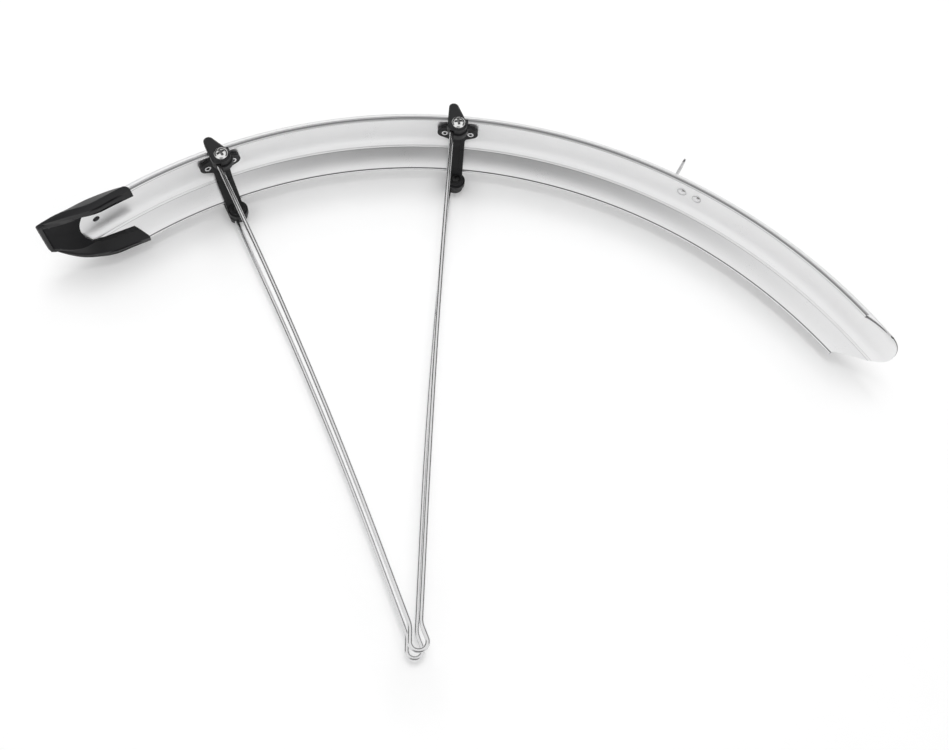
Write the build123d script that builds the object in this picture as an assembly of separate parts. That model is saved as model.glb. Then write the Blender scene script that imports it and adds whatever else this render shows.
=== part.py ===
"""Bicycle mudguard: a rolled sheet blade on two moulded bridges with round wire stays.

The blade is worked out about the wheel axle: X forward, Y to the left, Z up, axle along Y.
The finished pieces are moved so that the bolt hole of the crown tab is the origin.
Sections are drawn as (y, height), where height is measured outwards from the rims.
"""
from build123d import *
import os
from dataclasses import dataclass
from math import asin, atan2, cos, degrees, hypot, radians, sin, tan

# Blade
RIM_RADIUS = 346.5
FRONT_RADIUS = 371.5
FRONT_BEND_ANGLE = 80.0
REAR_CORNER_ANGLE = 127.4
REAR_TONGUE_LENGTH = 41.0
REAR_TONGUE_WIDTH = 36.0
FRONT_CORNER_ANGLE = 37.6
BLADE_WIDTH = 65.0
CROWN_DEPTH = 15.7
CROWN_DROP = 2.0
CREASE_SPREAD = 36.0
CREASE_RUN = 1.4
CREASE_DROP = 1.0
CROWN_FLAT = 12.0
SHEET = 0.8
HEM_RADIUS = 1.8
HEM_TURN = 240.0
TONGUE_LENGTH = 31.0
TONGUE_TIP_WIDTH = 31.2
TONGUE_ROUND = 22.0

# Crown tab
TAB_ANGLE = 60.65
TAB_WIDTH = 16.0
TAB_SHEET = 1.5
TAB_HOLE_HEIGHT = 17.0
TAB_HOLE = 6.4
TAB_BEND = 2.0
TAB_RIVET_FIRST = 9.6
TAB_RIVET_PITCH = 12.0
TAB_TOE = 7.0
TAB_TOE_ROUND = 4.0
TAB_RIVET_SHANK = 4.0
TAB_RIVET_HEAD = 7.2
TAB_RIVET_DOME = 1.4
TAB_RIVET_CLOSED = 6.4
TAB_RIVET_CLOSED_HEIGHT = 0.9

# Bridges
REAR_BRIDGE_ANGLE = 115.85
FRONT_BRIDGE_ANGLE = 87.74
BRIDGE_THICKNESS = 3.1
ARM_WIDTH = 11.8
ARM_CHANNEL_WIDTH = 6.4
ARM_CHANNEL_DEPTH = 0.9
WING_PITCH = 19.2
WING_WIDTH = 10.8
WING_ROOT = 18.5
WING_BLEND = 3.0
EYELET_BORE = 2.2
EYELET_SHANK = 3.2
EYELET_FLANGE = 4.8
EYELET_LIP = 0.6

# Clamps
SCREW_DROP = 8.1
CLIP_STANDOFF = 2.8
CLIP_PLATE = 4.0
CLIP_RADIUS = 7.2
KNEE_LAP = 1.0
NUT_COLLAR_RADIUS = 5.9
NUT_COLLAR_HEIGHT = 2.0
NUT_FLATS = 8.0
NUT_HEIGHT = 3.2
SCREW_SHIFT = 1.1
SCREW_DIAMETER = 5.0
SCREW_HEAD = 9.4
SCREW_HEAD_HEIGHT = 3.0
SCREW_HEAD_SIDE = 1.2
SCREW_HEAD_SINK = 0.9
SCREW_PROUD = 0.6
CROSS_LENGTH = 5.4
CROSS_WIDTH = 1.2
CROSS_DEPTH = 1.4
CAP_THICKNESS = 6.0
CAP_RADIUS = 6.1
CAP_TIP_RADIUS = 3.5
CAP_TIP_SHIFT = 3.9
CAP_LENGTH = 13.4
CAP_EDGE = 1.3
CAP_FOOT_RADIUS = 3.3
CAP_FOOT_DROP = 2.0

# Stays
WIRE = 3.0
WIRE_OFFSET = 4.1
LEFT_LOOP = (-8.85, -11.8)
RIGHT_LOOP = (-8.15, -17.1)
LOOP_RADIUS = 4.95
LOOP_FLAT = 0.3
REAR_NECK = (-5.1, 9.0)
FRONT_NECK = (1.0, 10.7)
NECK_BEND = 14.0
REAR_LEG_BOW = 4.1
LEFT_FRONT_LEG_BOW = 3.1
RIGHT_FRONT_LEG_BOW = 1.6
LEG_BOW_RUN = 110.0

# End shoe
SHOE_SKIN = 1.9
SHOE_MOUTH_RUN = 32.7
SHOE_MOUTH_DEPTH = 5.0
SHOE_MOUTH_INSET = 13.0
SHOE_LIP_INSET = 8.0
STUD_RUN = 21.2
STUD_DIAMETER = 5.0


@dataclass
class Station:
    """One section of the end shoe.

    run: distance along the rims behind the blade's rear corners
    side: how far the section reaches past the blade's half width
    foot, foot_width: height of the foot above the rims, and its width
    wall_inset, wall_rise: top of the side wall, inwards and upwards from the foot
    crown_half, crown_rise, crown_drop: edge of the crown, its height above the blade, and its fall
    panel_half, panel_sink: edge of the inner panel, and its depth under the blade
    """

    run: float
    side: float
    foot: float
    foot_width: float
    wall_inset: float
    wall_rise: float
    crown_half: float
    crown_rise: float
    crown_drop: float
    panel_half: float
    panel_sink: float


SHOE_STATIONS = [
    Station(-4.2, 1.4, -1.2, 5.0, 0.0, 5.8, 20.6, 1.8, 3.0, 17.5, 3.3),
    Station(23.0, -1.7, 2.0, 5.0, 0.2, 6.5, 20.6, 7.7, 2.4, 17.0, 4.2),
    Station(41.1, -5.2, 12.0, 3.0, 2.5, 9.0, 20.0, 8.7, 1.5, 17.5, 2.7),
    Station(55.6, -14.5, 24.2, 1.5, 0.3, 1.6, 14.0, 10.9, 0.3, 12.0, -8.9),
]

# Clearances
SEAT_GAP = 0.15
HOLE_GAP = 0.1
POCKET_GAP = 0.3
HEM_GAP = 0.45

# Room that a cut takes past the end of what it trims
CUT_MARGIN = 6.0

# Flats that stand for a curve: half of the crown's arch, a rolled edge, a domed head
ARCH_FLATS = 3
HEM_FLATS = 6
DOME_FLATS = 2

HALF_WIDTH = BLADE_WIDTH / 2
FRONT_SHIFT = FRONT_RADIUS - RIM_RADIUS


def polar(radius, angle):
    """Point of the wheel plane at a radius and an angle above the forward axis."""
    return Vector(radius * cos(radians(angle)), 0, radius * sin(radians(angle)))


def on_main_arc(angle):
    """Frame that carries a piece drawn at the top of the main arc to an angle about the axle."""
    return Rot(0, 90 - angle, 0)


def behind(run):
    """Angle about the axle at a distance along the rims behind the blade's rear corners."""
    return REAR_CORNER_ANGLE + degrees(run / RIM_RADIUS)


FRONT_CENTRE = polar(-FRONT_SHIFT, FRONT_BEND_ANGLE)


def on_front_arc(angle):
    """Frame that carries a piece drawn at the top of the front arc to an angle about that arc's centre."""
    return Pos(FRONT_CENTRE) * Rot(0, 90 - angle, 0)


def mitred(lines):
    """Chain of the points where lines, each a point and a run, meet one another."""
    chain = [lines[0][0]]
    for (p, d), (q, e) in zip(lines, lines[1:]):
        cross = d[0] * e[1] - d[1] * e[0]
        t = ((q[0] - p[0]) * e[1] - (q[1] - p[1]) * e[0]) / cross
        chain.append((p[0] + d[0] * t, p[1] + d[1] * t))
    last_point, last_run = lines[-1]
    chain.append((last_point[0] + last_run[0], last_point[1] + last_run[1]))
    return chain


def parallel(points, distance):
    """Open chain moved sideways, to the left when positive, without the runs that its corners swallow."""
    lines = []
    for (ya, za), (yb, zb) in zip(points, points[1:]):
        run_y, run_z = yb - ya, zb - za
        step = distance / hypot(run_y, run_z)
        lines.append(((ya - run_z * step, za + run_y * step), (run_y, run_z)))
    while True:
        chain = mitred(lines)
        runs = [(yb - ya, zb - za) for (ya, za), (yb, zb) in zip(chain, chain[1:])]
        kept = [line for line, run in zip(lines, runs) if line[1][0] * run[0] + line[1][1] * run[1] > 0]
        if len(kept) == len(lines):
            return chain
        lines = kept


def mirrored(half):
    """Full chain from one side to the other of the half that lies on the left."""
    return [(-y, z) for y, z in reversed(half)] + list(half)


def raised(points, radius):
    """Section points with their heights turned into radii about an arc's centre."""
    return [(y, radius + z) for y, z in points]


def section(points, radius):
    """Closed polygon on the plane of the middle section."""
    return Plane.YZ * make_face(Polyline(*raised(points, radius), close=True))


def turned(face, span):
    """Solid of a section carried forwards about the axle by an angle."""
    return revolve(face, Axis.Y, span)


def hem_centre():
    """Middle of the rolled edge on the left rim."""
    return HALF_WIDTH - HEM_RADIUS, HEM_RADIUS


def wall_foot():
    """Heading of the side wall and the point where it runs into the rolled edge."""
    crease_y = CREASE_SPREAD / 2 + CREASE_RUN
    crease_z = CROWN_DEPTH - CROWN_DROP - CREASE_DROP
    hem_y, hem_z = hem_centre()
    away_y, away_z = hem_y - crease_y, hem_z - crease_z
    heading = atan2(away_z, away_y) - asin(HEM_RADIUS / hypot(away_y, away_z))
    foot = (hem_y + HEM_RADIUS * sin(heading), hem_z - HEM_RADIUS * cos(heading))
    return heading, foot


def crown_arch():
    """Half of the arched crown, from its flat to the crease, falling as the square of the way."""
    width = (CREASE_SPREAD - CROWN_FLAT) / 2
    ways = [step / ARCH_FLATS for step in range(ARCH_FLATS + 1)]
    return [(CROWN_FLAT / 2 + width * way, CROWN_DEPTH - CROWN_DROP * way ** 2) for way in ways]


def rolled_edge():
    """Points of the left rolled edge after the wall's foot, round its middle and up outside the wall."""
    hem_y, hem_z = hem_centre()
    turns = [WALL_HEADING + radians(HEM_TURN * step / HEM_FLATS) for step in range(1, HEM_FLATS + 1)]
    return [(hem_y + HEM_RADIUS * sin(turn), hem_z - HEM_RADIUS * cos(turn)) for turn in turns]


WALL_HEADING, WALL_FOOT = wall_foot()
CREASE_FOOT = (CREASE_SPREAD / 2 + CREASE_RUN, CROWN_DEPTH - CROWN_DROP - CREASE_DROP)
INNER_HALF = crown_arch() + [CREASE_FOOT, WALL_FOOT]
INNER_CHAIN = mirrored(INNER_HALF)
SHEET_CHAIN = mirrored(INNER_HALF + rolled_edge())


def band(chain, low, high, radius):
    """Section between two lines that follow a chain at their own distances from it."""
    return section(parallel(chain, low) + parallel(chain, high)[::-1], radius)


def blade_section(radius):
    """Sheet section with its two creases, arched crown and rolled edges."""
    return band(SHEET_CHAIN, 0, SHEET, radius)


CROWN_TOP = CROWN_DEPTH + SHEET
CROWN_RADIUS_FRONT = FRONT_RADIUS + CROWN_TOP
PLATE_OUT = HALF_WIDTH + CLIP_STANDOFF
PLATE_IN = PLATE_OUT - CLIP_PLATE
WIRE_Y = PLATE_OUT + SEAT_GAP / 2 + WIRE / 2
SCREW_RADIUS = RIM_RADIUS - SCREW_DROP
REACH = 4 * BLADE_WIDTH


def along_y(sketch, start, depth):
    """Solid of a sketch drawn in the wheel plane as (x, z), from a place on Y outwards."""
    plane = Plane(origin=(0, start, 0), x_dir=(1, 0, 0), z_dir=(0, -1, 0))
    return extrude(plane * sketch, -depth)


def rod_y(radius, start, depth, x=0, z=0):
    """Round bar along Y."""
    return along_y(Pos(x, z) * Circle(radius), start, depth)


def rod_z(radius, bottom, height):
    """Round bar along Z, on the middle line."""
    return Pos(0, 0, bottom) * extrude(Circle(radius), height)


def dome_points(radius, rise, top):
    """Half section of a shallow dome, from its rim up or down to its top on the axis."""
    ball = (radius ** 2 + rise ** 2) / (2 * rise)
    whole = asin(radius / ball)
    turns = [whole * step / DOME_FLATS for step in range(DOME_FLATS, -1, -1)]
    return [(ball * sin(turn), top - ball * (1 - cos(turn))) for turn in turns]


def place_rivets_on_tab():
    """Frames of the two tab rivets, the rear one first."""
    step = degrees(TAB_RIVET_PITCH / 2 / CROWN_RADIUS_FRONT)
    return [on_front_arc(TAB_ANGLE + step), on_front_arc(TAB_ANGLE - step)]


def place_eyelets(bridge_angle):
    """Frames of the two eyelet rivets of a bridge, the rear one first."""
    step = degrees(WING_PITCH / 2 / (RIM_RADIUS + CROWN_DEPTH))
    return [on_main_arc(bridge_angle + step), on_main_arc(bridge_angle - step)]


# Blade: two tangent arcs of one section, cut to a rounded tongue in front and a straight one behind
def front_waste():
    """Everything in front of the rims' corners that lies outside the tongue's outline."""
    half_tip = TONGUE_TIP_WIDTH / 2
    flank = [(0, -HALF_WIDTH), (TONGUE_LENGTH, -half_tip), (TONGUE_LENGTH, half_tip), (0, HALF_WIDTH)]
    tongue = make_face(Polyline(*flank, (-REACH, HALF_WIDTH), (-REACH, -HALF_WIDTH), close=True))
    tips = tongue.vertices().filter_by(lambda v: v.X > TONGUE_LENGTH / 2)
    tongue = fillet(tips, TONGUE_ROUND)
    surround = Pos(TONGUE_LENGTH, 0) * Rectangle(2 * TONGUE_LENGTH, 2 * BLADE_WIDTH)
    waste = extrude(surround - tongue, 2 * BLADE_WIDTH)
    half_angle = degrees(TONGUE_LENGTH / 2 / CROWN_RADIUS_FRONT)
    place = Pos(-TONGUE_LENGTH / 2, 0, FRONT_RADIUS - BLADE_WIDTH)
    return on_front_arc(FRONT_CORNER_ANGLE - half_angle) * place * waste


def rear_tongue(gap):
    """Prism over the rear end's outline, let out by a gap: square to the rolled edges, then tapered."""
    wide, root = HALF_WIDTH + gap, HALF_WIDTH - 2 * HEM_RADIUS + gap
    narrow, end = REAR_TONGUE_WIDTH / 2 + gap, -REAR_TONGUE_LENGTH - gap
    half = [(end, narrow), (-gap, root), (-gap, wide), (REACH, wide)]
    outline = half + [(x, -y) for x, y in reversed(half)]
    prism = extrude(make_face(Polyline(*outline, close=True)), 2 * BLADE_WIDTH)
    return on_main_arc(REAR_CORNER_ANGLE) * Pos(0, 0, RIM_RADIUS - BLADE_WIDTH) * prism


def rear_end_angle():
    """Angle past the end of the rear tongue."""
    return behind(REAR_TONGUE_LENGTH + CUT_MARGIN)


def rear_waste():
    """Everything behind the rear corners that lies outside the rear tongue."""
    length = 2 * REAR_TONGUE_LENGTH
    block = Pos(-length / 2, 0, RIM_RADIUS) * Box(length, 2 * BLADE_WIDTH, 2 * BLADE_WIDTH)
    return on_main_arc(REAR_CORNER_ANGLE) * block - rear_tongue(0)


def make_blade():
    """Rolled sheet with its rivet holes and the hole for the shoe's stud."""
    rear_end = rear_end_angle()
    main = on_main_arc(rear_end) * turned(blade_section(RIM_RADIUS), rear_end - FRONT_BEND_ANGLE)
    main -= rear_waste()
    for frame in place_eyelets(REAR_BRIDGE_ANGLE) + place_eyelets(FRONT_BRIDGE_ANGLE):
        main -= frame * rod_z(EYELET_SHANK / 2 + HOLE_GAP, RIM_RADIUS, 2 * CROWN_DEPTH)
    main -= on_main_arc(behind(STUD_RUN)) * rod_z(STUD_DIAMETER / 2 + HOLE_GAP, RIM_RADIUS, 2 * CROWN_DEPTH)
    overrun = degrees((TONGUE_LENGTH + CUT_MARGIN) / FRONT_RADIUS)
    front_span = FRONT_BEND_ANGLE - FRONT_CORNER_ANGLE + overrun
    front = on_front_arc(FRONT_BEND_ANGLE) * turned(blade_section(FRONT_RADIUS), front_span)
    front -= front_waste()
    for frame in place_rivets_on_tab():
        front -= frame * rod_z(TAB_RIVET_SHANK / 2 + HOLE_GAP, FRONT_RADIUS, 2 * CROWN_DEPTH)
    return main + front


# Crown tab: a bent strip riveted on the outside of the crown
TAB_FOOT = CROWN_RADIUS_FRONT + SEAT_GAP
TAB_BACK = TAB_RIVET_FIRST + TAB_RIVET_PITCH / 2 + TAB_SHEET / 2
TAB_HOLE_Z = TAB_FOOT + TAB_HOLE_HEIGHT


def make_crown_tab():
    """Bent strip with a round head and a bolt hole, its foot along the crown."""
    toe = TAB_RIVET_PITCH / 2 + TAB_TOE
    top = TAB_HOLE_Z + TAB_WIDTH / 2
    inside_x, inside_z = TAB_SHEET - TAB_BACK, TAB_FOOT + TAB_SHEET
    corner, notch = (-TAB_BACK, TAB_FOOT), (inside_x, inside_z)
    back = [(toe, TAB_FOOT), corner, (-TAB_BACK, top)]
    front = [(inside_x, top), notch, (toe, inside_z)]
    side = make_face(Polyline(*back, *front, close=True))
    for (x, z), bend in ((corner, TAB_BEND + TAB_SHEET), (notch, TAB_BEND)):
        side = fillet(side.vertices().sort_by_distance((x, z, 0))[0], bend)
    strip = along_y(side, -TAB_WIDTH / 2, TAB_WIDTH)
    toe_edges = strip.edges().filter_by(Axis.Z).group_by(Axis.X)[-1]
    strip = fillet(toe_edges, TAB_TOE_ROUND)
    head = Pos(0, TAB_HOLE_Z) * Circle(TAB_WIDTH / 2)
    shank = Pos(0, TAB_FOOT) * Rectangle(TAB_WIDTH, TAB_HOLE_HEIGHT, align=(Align.CENTER, Align.MIN))
    below = Pos(0, TAB_FOOT) * Rectangle(TAB_WIDTH, TAB_HOLE_HEIGHT, align=(Align.CENTER, Align.MAX))
    strip &= extrude(Plane.YZ * (head + shank + below), TAB_WIDTH * 2, both=True)
    bore = Pos(0, TAB_HOLE_Z) * Circle(TAB_HOLE / 2)
    strip -= Pos(-TAB_BACK, 0, 0) * extrude(Plane.YZ * bore, 2 * TAB_SHEET, both=True)
    tab = on_front_arc(TAB_ANGLE) * strip
    for frame in place_rivets_on_tab():
        tab -= frame * rod_z(TAB_RIVET_SHANK / 2 + HOLE_GAP, FRONT_RADIUS, 2 * CROWN_DEPTH)
    return tab


def make_tab_rivet():
    """Solid rivet with a domed head under the crown and a flat closed head on the strip."""
    seat = CROWN_DEPTH - SEAT_GAP
    closed = CROWN_TOP + TAB_SHEET + 2 * SEAT_GAP
    head, shank = TAB_RIVET_HEAD / 2, TAB_RIVET_SHANK / 2
    upper, top = TAB_RIVET_CLOSED / 2, closed + TAB_RIVET_CLOSED_HEIGHT
    stem = [(shank, seat), (shank, closed), (upper, closed), (upper, top), (0, top)]
    dome = dome_points(head, -TAB_RIVET_DOME, seat - TAB_RIVET_DOME)
    half = make_face(Polyline(*dome[::-1], *stem, close=True))
    return Pos(0, 0, FRONT_RADIUS) * revolve(Plane.XZ * half, Axis.Z)


# Bridges: one moulding each, with two riveted wings, two arms and a clip plate outside each rim
ARM_TOP = -SEAT_GAP
ARM_FACE = -SEAT_GAP - BRIDGE_THICKNESS
NUT_FACE = PLATE_IN - NUT_COLLAR_HEIGHT
NUT_POCKET = NUT_HEIGHT + 2 * HOLE_GAP


def bridge_plan():
    """Outline of the wings and arms, seen from the axle."""
    wings = Circle(WING_ROOT / 2)
    for x in (-WING_PITCH / 2, WING_PITCH / 2):
        wings += Pos(x, 0) * Circle(WING_WIDTH / 2)
    plan = make_hull(wings.edges()) + Rectangle(ARM_WIDTH, BLADE_WIDTH)
    inner = plan.vertices().filter_by(lambda v: abs(v.Y) < WING_ROOT and abs(v.X) < ARM_WIDTH / 2 + HOLE_GAP)
    return fillet(inner, WING_BLEND)


def hexagon_across(flats):
    """Hexagon with a width across its flats."""
    return RegularPolygon(flats / 2, 6, major_radius=False)


def clip():
    """Clip plate, nut collar and the knee of the arm that reaches it under the rim, on the left."""
    disc = Pos(SCREW_SHIFT, SCREW_RADIUS) * Circle(CLIP_RADIUS)
    stem = Pos(0, SCREW_RADIUS) * Rectangle(ARM_WIDTH, SCREW_DROP - HEM_GAP, align=(Align.CENTER, Align.MIN))
    plate = along_y(disc + stem, PLATE_IN, CLIP_PLATE)
    outer_end = parallel(INNER_CHAIN, ARM_TOP)[-1]
    inner_end = parallel(INNER_CHAIN, ARM_FACE)[-1]
    knee_foot = CLIP_RADIUS / 2 - SCREW_DROP
    knee = [
        outer_end,
        (outer_end[0], -HEM_GAP),
        (PLATE_IN + KNEE_LAP, -HEM_GAP),
        (PLATE_IN + KNEE_LAP, knee_foot),
        (PLATE_IN, knee_foot),
        inner_end,
    ]
    elbow = extrude(section(knee, RIM_RADIUS), ARM_WIDTH / 2, both=True)
    collar = rod_y(NUT_COLLAR_RADIUS, NUT_FACE, NUT_COLLAR_HEIGHT + KNEE_LAP, SCREW_SHIFT, SCREW_RADIUS)
    hexagon = Pos(SCREW_SHIFT, SCREW_RADIUS) * hexagon_across(NUT_FLATS + 2 * HOLE_GAP)
    pocket = along_y(hexagon, NUT_FACE - CLIP_PLATE, NUT_POCKET + CLIP_PLATE)
    hole = rod_y(SCREW_DIAMETER / 2 + HOLE_GAP, NUT_FACE, 2 * CLIP_PLATE, SCREW_SHIFT, SCREW_RADIUS)
    return plate + elbow + collar, pocket + hole


def make_bridge():
    """Whole bridge at the top of the main arc."""
    span = degrees((WING_PITCH + 2 * WING_WIDTH) / RIM_RADIUS)
    carry = on_main_arc(90 + span / 2)
    prism = Pos(0, 0, RIM_RADIUS - BLADE_WIDTH) * extrude(bridge_plan(), 2 * BLADE_WIDTH)
    body = carry * turned(band(INNER_CHAIN, ARM_FACE, ARM_TOP, RIM_RADIUS), span) & prism
    added, removed = clip()
    half_turn = Rot(0, 0, 180)
    body = body + added + half_turn * added
    body = body - removed - half_turn * removed
    low, high = ARM_FACE - ARM_CHANNEL_DEPTH, ARM_FACE + ARM_CHANNEL_DEPTH
    channel = carry * turned(band(INNER_CHAIN, low, high, RIM_RADIUS), span)
    start = WING_WIDTH / 2 + ARM_CHANNEL_DEPTH
    strip = Rectangle(ARM_CHANNEL_WIDTH, HALF_WIDTH - start, align=(Align.CENTER, Align.MIN))
    groove = channel & Pos(0, start, RIM_RADIUS - BLADE_WIDTH) * extrude(strip, 2 * BLADE_WIDTH)
    body = body - groove - mirror(groove, Plane.XZ)
    for frame in place_eyelets(90):
        body -= frame * rod_z(EYELET_SHANK / 2 + HOLE_GAP, RIM_RADIUS, 2 * CROWN_DEPTH)
    return body


def make_eyelet():
    """Tubular rivet with a flange under the wing and one on the outside of the crown."""
    low = CROWN_DEPTH + ARM_FACE - SEAT_GAP
    high = CROWN_TOP + SEAT_GAP
    bore, shank, flange = EYELET_BORE / 2, EYELET_SHANK / 2, EYELET_FLANGE / 2
    under = [(bore, low - EYELET_LIP), (flange, low - EYELET_LIP), (flange, low), (shank, low)]
    over = [(shank, high), (flange, high), (flange, high + EYELET_LIP), (bore, high + EYELET_LIP)]
    half = make_face(Polyline(*under, *over, close=True))
    rims = half.vertices().group_by(Axis.X)[-1].sort_by(Axis.Y)
    half = chamfer([rims[0], rims[-1]], EYELET_LIP / 2)
    return Pos(0, 0, RIM_RADIUS) * revolve(Plane.XZ * half, Axis.Z)


# Clamps: a cap over the end of each wire leg, its screw and its nut, drawn about the screw
def make_cap():
    """Teardrop cap on the left clip plate, slotted for the wire, with a seat for the screw's head."""
    rounds = Circle(CAP_RADIUS)
    rounds += Pos(-CAP_TIP_SHIFT, CAP_LENGTH) * Circle(CAP_TIP_RADIUS)
    rounds += Pos(-WIRE_OFFSET, -CAP_FOOT_DROP) * Circle(CAP_FOOT_RADIUS)
    cap = along_y(make_hull(rounds.edges()), PLATE_OUT, CAP_THICKNESS)
    cap = chamfer(cap.faces().sort_by(Axis.Y)[-1].edges(), CAP_EDGE)
    slot = Rectangle(WIRE + 2 * HOLE_GAP, 2 * CAP_LENGTH, align=(Align.CENTER, Align.MAX))
    cap -= along_y(Pos(-WIRE_OFFSET, CAP_LENGTH) * slot, PLATE_OUT, WIRE + 2 * SEAT_GAP)
    cap -= rod_y(SCREW_DIAMETER / 2 + HOLE_GAP, PLATE_OUT, CAP_THICKNESS)
    cap -= rod_y(SCREW_HEAD / 2 + HOLE_GAP, PLATE_OUT + CAP_THICKNESS - SCREW_HEAD_SINK, CAP_THICKNESS)
    return cap


def make_screw():
    """Pan head screw with a cross recess, from its head outside the left cap to past its nut."""
    seat = PLATE_OUT + CAP_THICKNESS - SCREW_HEAD_SINK
    end = NUT_FACE + NUT_POCKET - NUT_HEIGHT - SCREW_PROUD
    head, shank, crown = SCREW_HEAD / 2, SCREW_DIAMETER / 2, seat + SCREW_HEAD_HEIGHT
    stem = [(0, end), (shank, end), (shank, seat), (head, seat)]
    dome = dome_points(head, SCREW_HEAD_HEIGHT - SCREW_HEAD_SIDE, crown)
    half = make_face(Polyline(*stem, *dome, close=True))
    screw = revolve(half, Axis.Y)
    cross = Rectangle(CROSS_LENGTH, CROSS_WIDTH) + Rectangle(CROSS_WIDTH, CROSS_LENGTH)
    cross += Rot(0, 0, 45) * Rectangle(CROSS_LENGTH / 2, CROSS_LENGTH / 2)
    return screw - along_y(cross, crown - CROSS_DEPTH, CROSS_DEPTH * 2)


def make_nut():
    """Hexagon nut at the bottom of the left clip's pocket."""
    start = NUT_FACE + NUT_POCKET - NUT_HEIGHT
    ring = hexagon_across(NUT_FLATS) - Circle(SCREW_DIAMETER / 2 + HOLE_GAP)
    return along_y(ring, start, NUT_HEIGHT)


# Stays: one round wire a side, from clamp to clamp round an open loop near the axle
def loop_corner(neck, loop, hand):
    """Corner under the loop on the line from a neck that touches the loop's circle, rear 1 or front -1."""
    x, z = loop[0] - hand * LOOP_FLAT / 2, loop[1]
    dx, dz = x - neck[0], z - neck[1]
    heading = atan2(dz, dx) - hand * asin(LOOP_RADIUS / hypot(dx, dz))
    reach = (z - LOOP_RADIUS - neck[1]) / sin(heading)
    return neck[0] + reach * cos(heading), z - LOOP_RADIUS


def screw_place(bridge_angle, side):
    """Screw axis in the wheel plane, ahead of the bridge's middle on the left and behind it on the right."""
    return (on_main_arc(bridge_angle) * Pos(side * SCREW_SHIFT, 0, SCREW_RADIUS)).position


def bow_point(neck, screw, bow):
    """Corner at the middle of a leg that bows forwards, or rearwards when negative, from neck to clamp."""
    dx, dz = screw.X - neck[0], screw.Z - neck[1]
    length = hypot(dx, dz)
    forward = (bow / (1 - LEG_BOW_RUN / length) - WIRE_OFFSET / 2) / length
    return neck[0] + dx / 2 + forward * dz, neck[1] + dz / 2 - forward * dx


def leg(neck, screw, bow):
    """Bow corner of a wire that passes behind its clamp screw, its angle there and its end in the cap."""
    corner = bow_point(neck, screw, bow)
    dx, dz = screw.X - corner[0], screw.Z - corner[1]
    angle = atan2(dz, dx) + asin(WIRE_OFFSET / hypot(dx, dz))
    along = CAP_LENGTH - SEAT_GAP
    x = screw.X - WIRE_OFFSET * sin(angle) + along * cos(angle)
    z = screw.Z + WIRE_OFFSET * cos(angle) + along * sin(angle)
    return corner, angle, (x, z)


def bow_bend(neck, corner, angle):
    """Radius that spreads a leg's bow over an equal run on both sides of its corner."""
    turn = angle - atan2(corner[1] - neck[1], corner[0] - neck[0])
    return LEG_BOW_RUN / tan(abs(turn) / 2)


@dataclass
class Stay:
    """One wire: its side, left 1 or right -1, the middle of its loop, and the front leg's bow."""

    side: int
    loop: tuple
    front_bow: float

    def necks(self):
        """The two bends above the loop, the rear one first."""
        return [(self.loop[0] + dx, self.loop[1] + dz) for dx, dz in (REAR_NECK, FRONT_NECK)]

    def screws(self):
        """Screw axes of its two clamps, the rear one first."""
        return [screw_place(angle, self.side) for angle in (REAR_BRIDGE_ANGLE, FRONT_BRIDGE_ANGLE)]

    def legs(self):
        """Bow corner, angle at the clamp and end of each leg, the rear one first."""
        bows = (REAR_LEG_BOW, -self.front_bow)
        return [leg(neck, screw, bow) for neck, screw, bow in zip(self.necks(), self.screws(), bows)]

    def wire(self):
        """Wire in its plane outside the clips, from clamp to clamp round the open loop."""
        rear_neck, front_neck = self.necks()
        (rear_bow, rear_angle, rear_end), (front_bow, front_angle, front_end) = self.legs()
        corners = [loop_corner(rear_neck, self.loop, 1), loop_corner(front_neck, self.loop, -1)]
        route = [rear_end, rear_bow, rear_neck, *corners, front_neck, front_bow, front_end]
        rear_bend = bow_bend(rear_neck, rear_bow, rear_angle)
        front_bend = bow_bend(front_neck, front_bow, front_angle)
        bends = [rear_bend, NECK_BEND, LOOP_RADIUS, LOOP_RADIUS, NECK_BEND, front_bend]
        path = FilletPolyline(*[(x, self.side * WIRE_Y, z) for x, z in route], radius=bends)
        return sweep(Plane(origin=path @ 0, z_dir=path % 0) * Circle(WIRE / 2), path)


STAYS = {"left": Stay(1, LEFT_LOOP, LEFT_FRONT_LEG_BOW), "right": Stay(-1, RIGHT_LOOP, RIGHT_FRONT_LEG_BOW)}


# End shoe: a moulded cover that grips both rims and runs out into a narrow flap
def station_section(st):
    """Closed section of the shoe at a station, from the outer crown round the foot to the inner panel."""
    edge, crown, panel = HALF_WIDTH + st.side, CROWN_TOP + st.crown_rise, CROWN_DEPTH - st.panel_sink
    half = [
        (CROWN_FLAT / 2, crown),
        (st.crown_half, crown - st.crown_drop),
        (edge - st.wall_inset, st.foot + st.wall_rise),
        (edge, st.foot),
        (edge - st.foot_width, st.foot),
        (st.panel_half, panel - st.crown_drop / 2),
        (CROWN_FLAT / 2, panel),
    ]
    ring = half + [(-y, z) for y, z in reversed(half)]
    return on_main_arc(behind(st.run)) * section(ring, RIM_RADIUS)


SHOE_FRONT = behind(SHOE_STATIONS[0].run - CUT_MARGIN)


def blade_pocket():
    """Room for the blade's rear end and its rolled edges."""
    hem_y, hem_z = hem_centre()
    hem = RegularPolygon(HEM_RADIUS + POCKET_GAP, 2 * HEM_FLATS, major_radius=False)
    edges = Pos(hem_y, RIM_RADIUS + hem_z) * hem + Pos(-hem_y, RIM_RADIUS + hem_z) * hem
    room = band(INNER_CHAIN, -POCKET_GAP, SHEET + POCKET_GAP, RIM_RADIUS) + Plane.YZ * edges
    end = rear_end_angle()
    return on_main_arc(end) * turned(room, end - SHOE_FRONT) & rear_tongue(POCKET_GAP)


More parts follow.
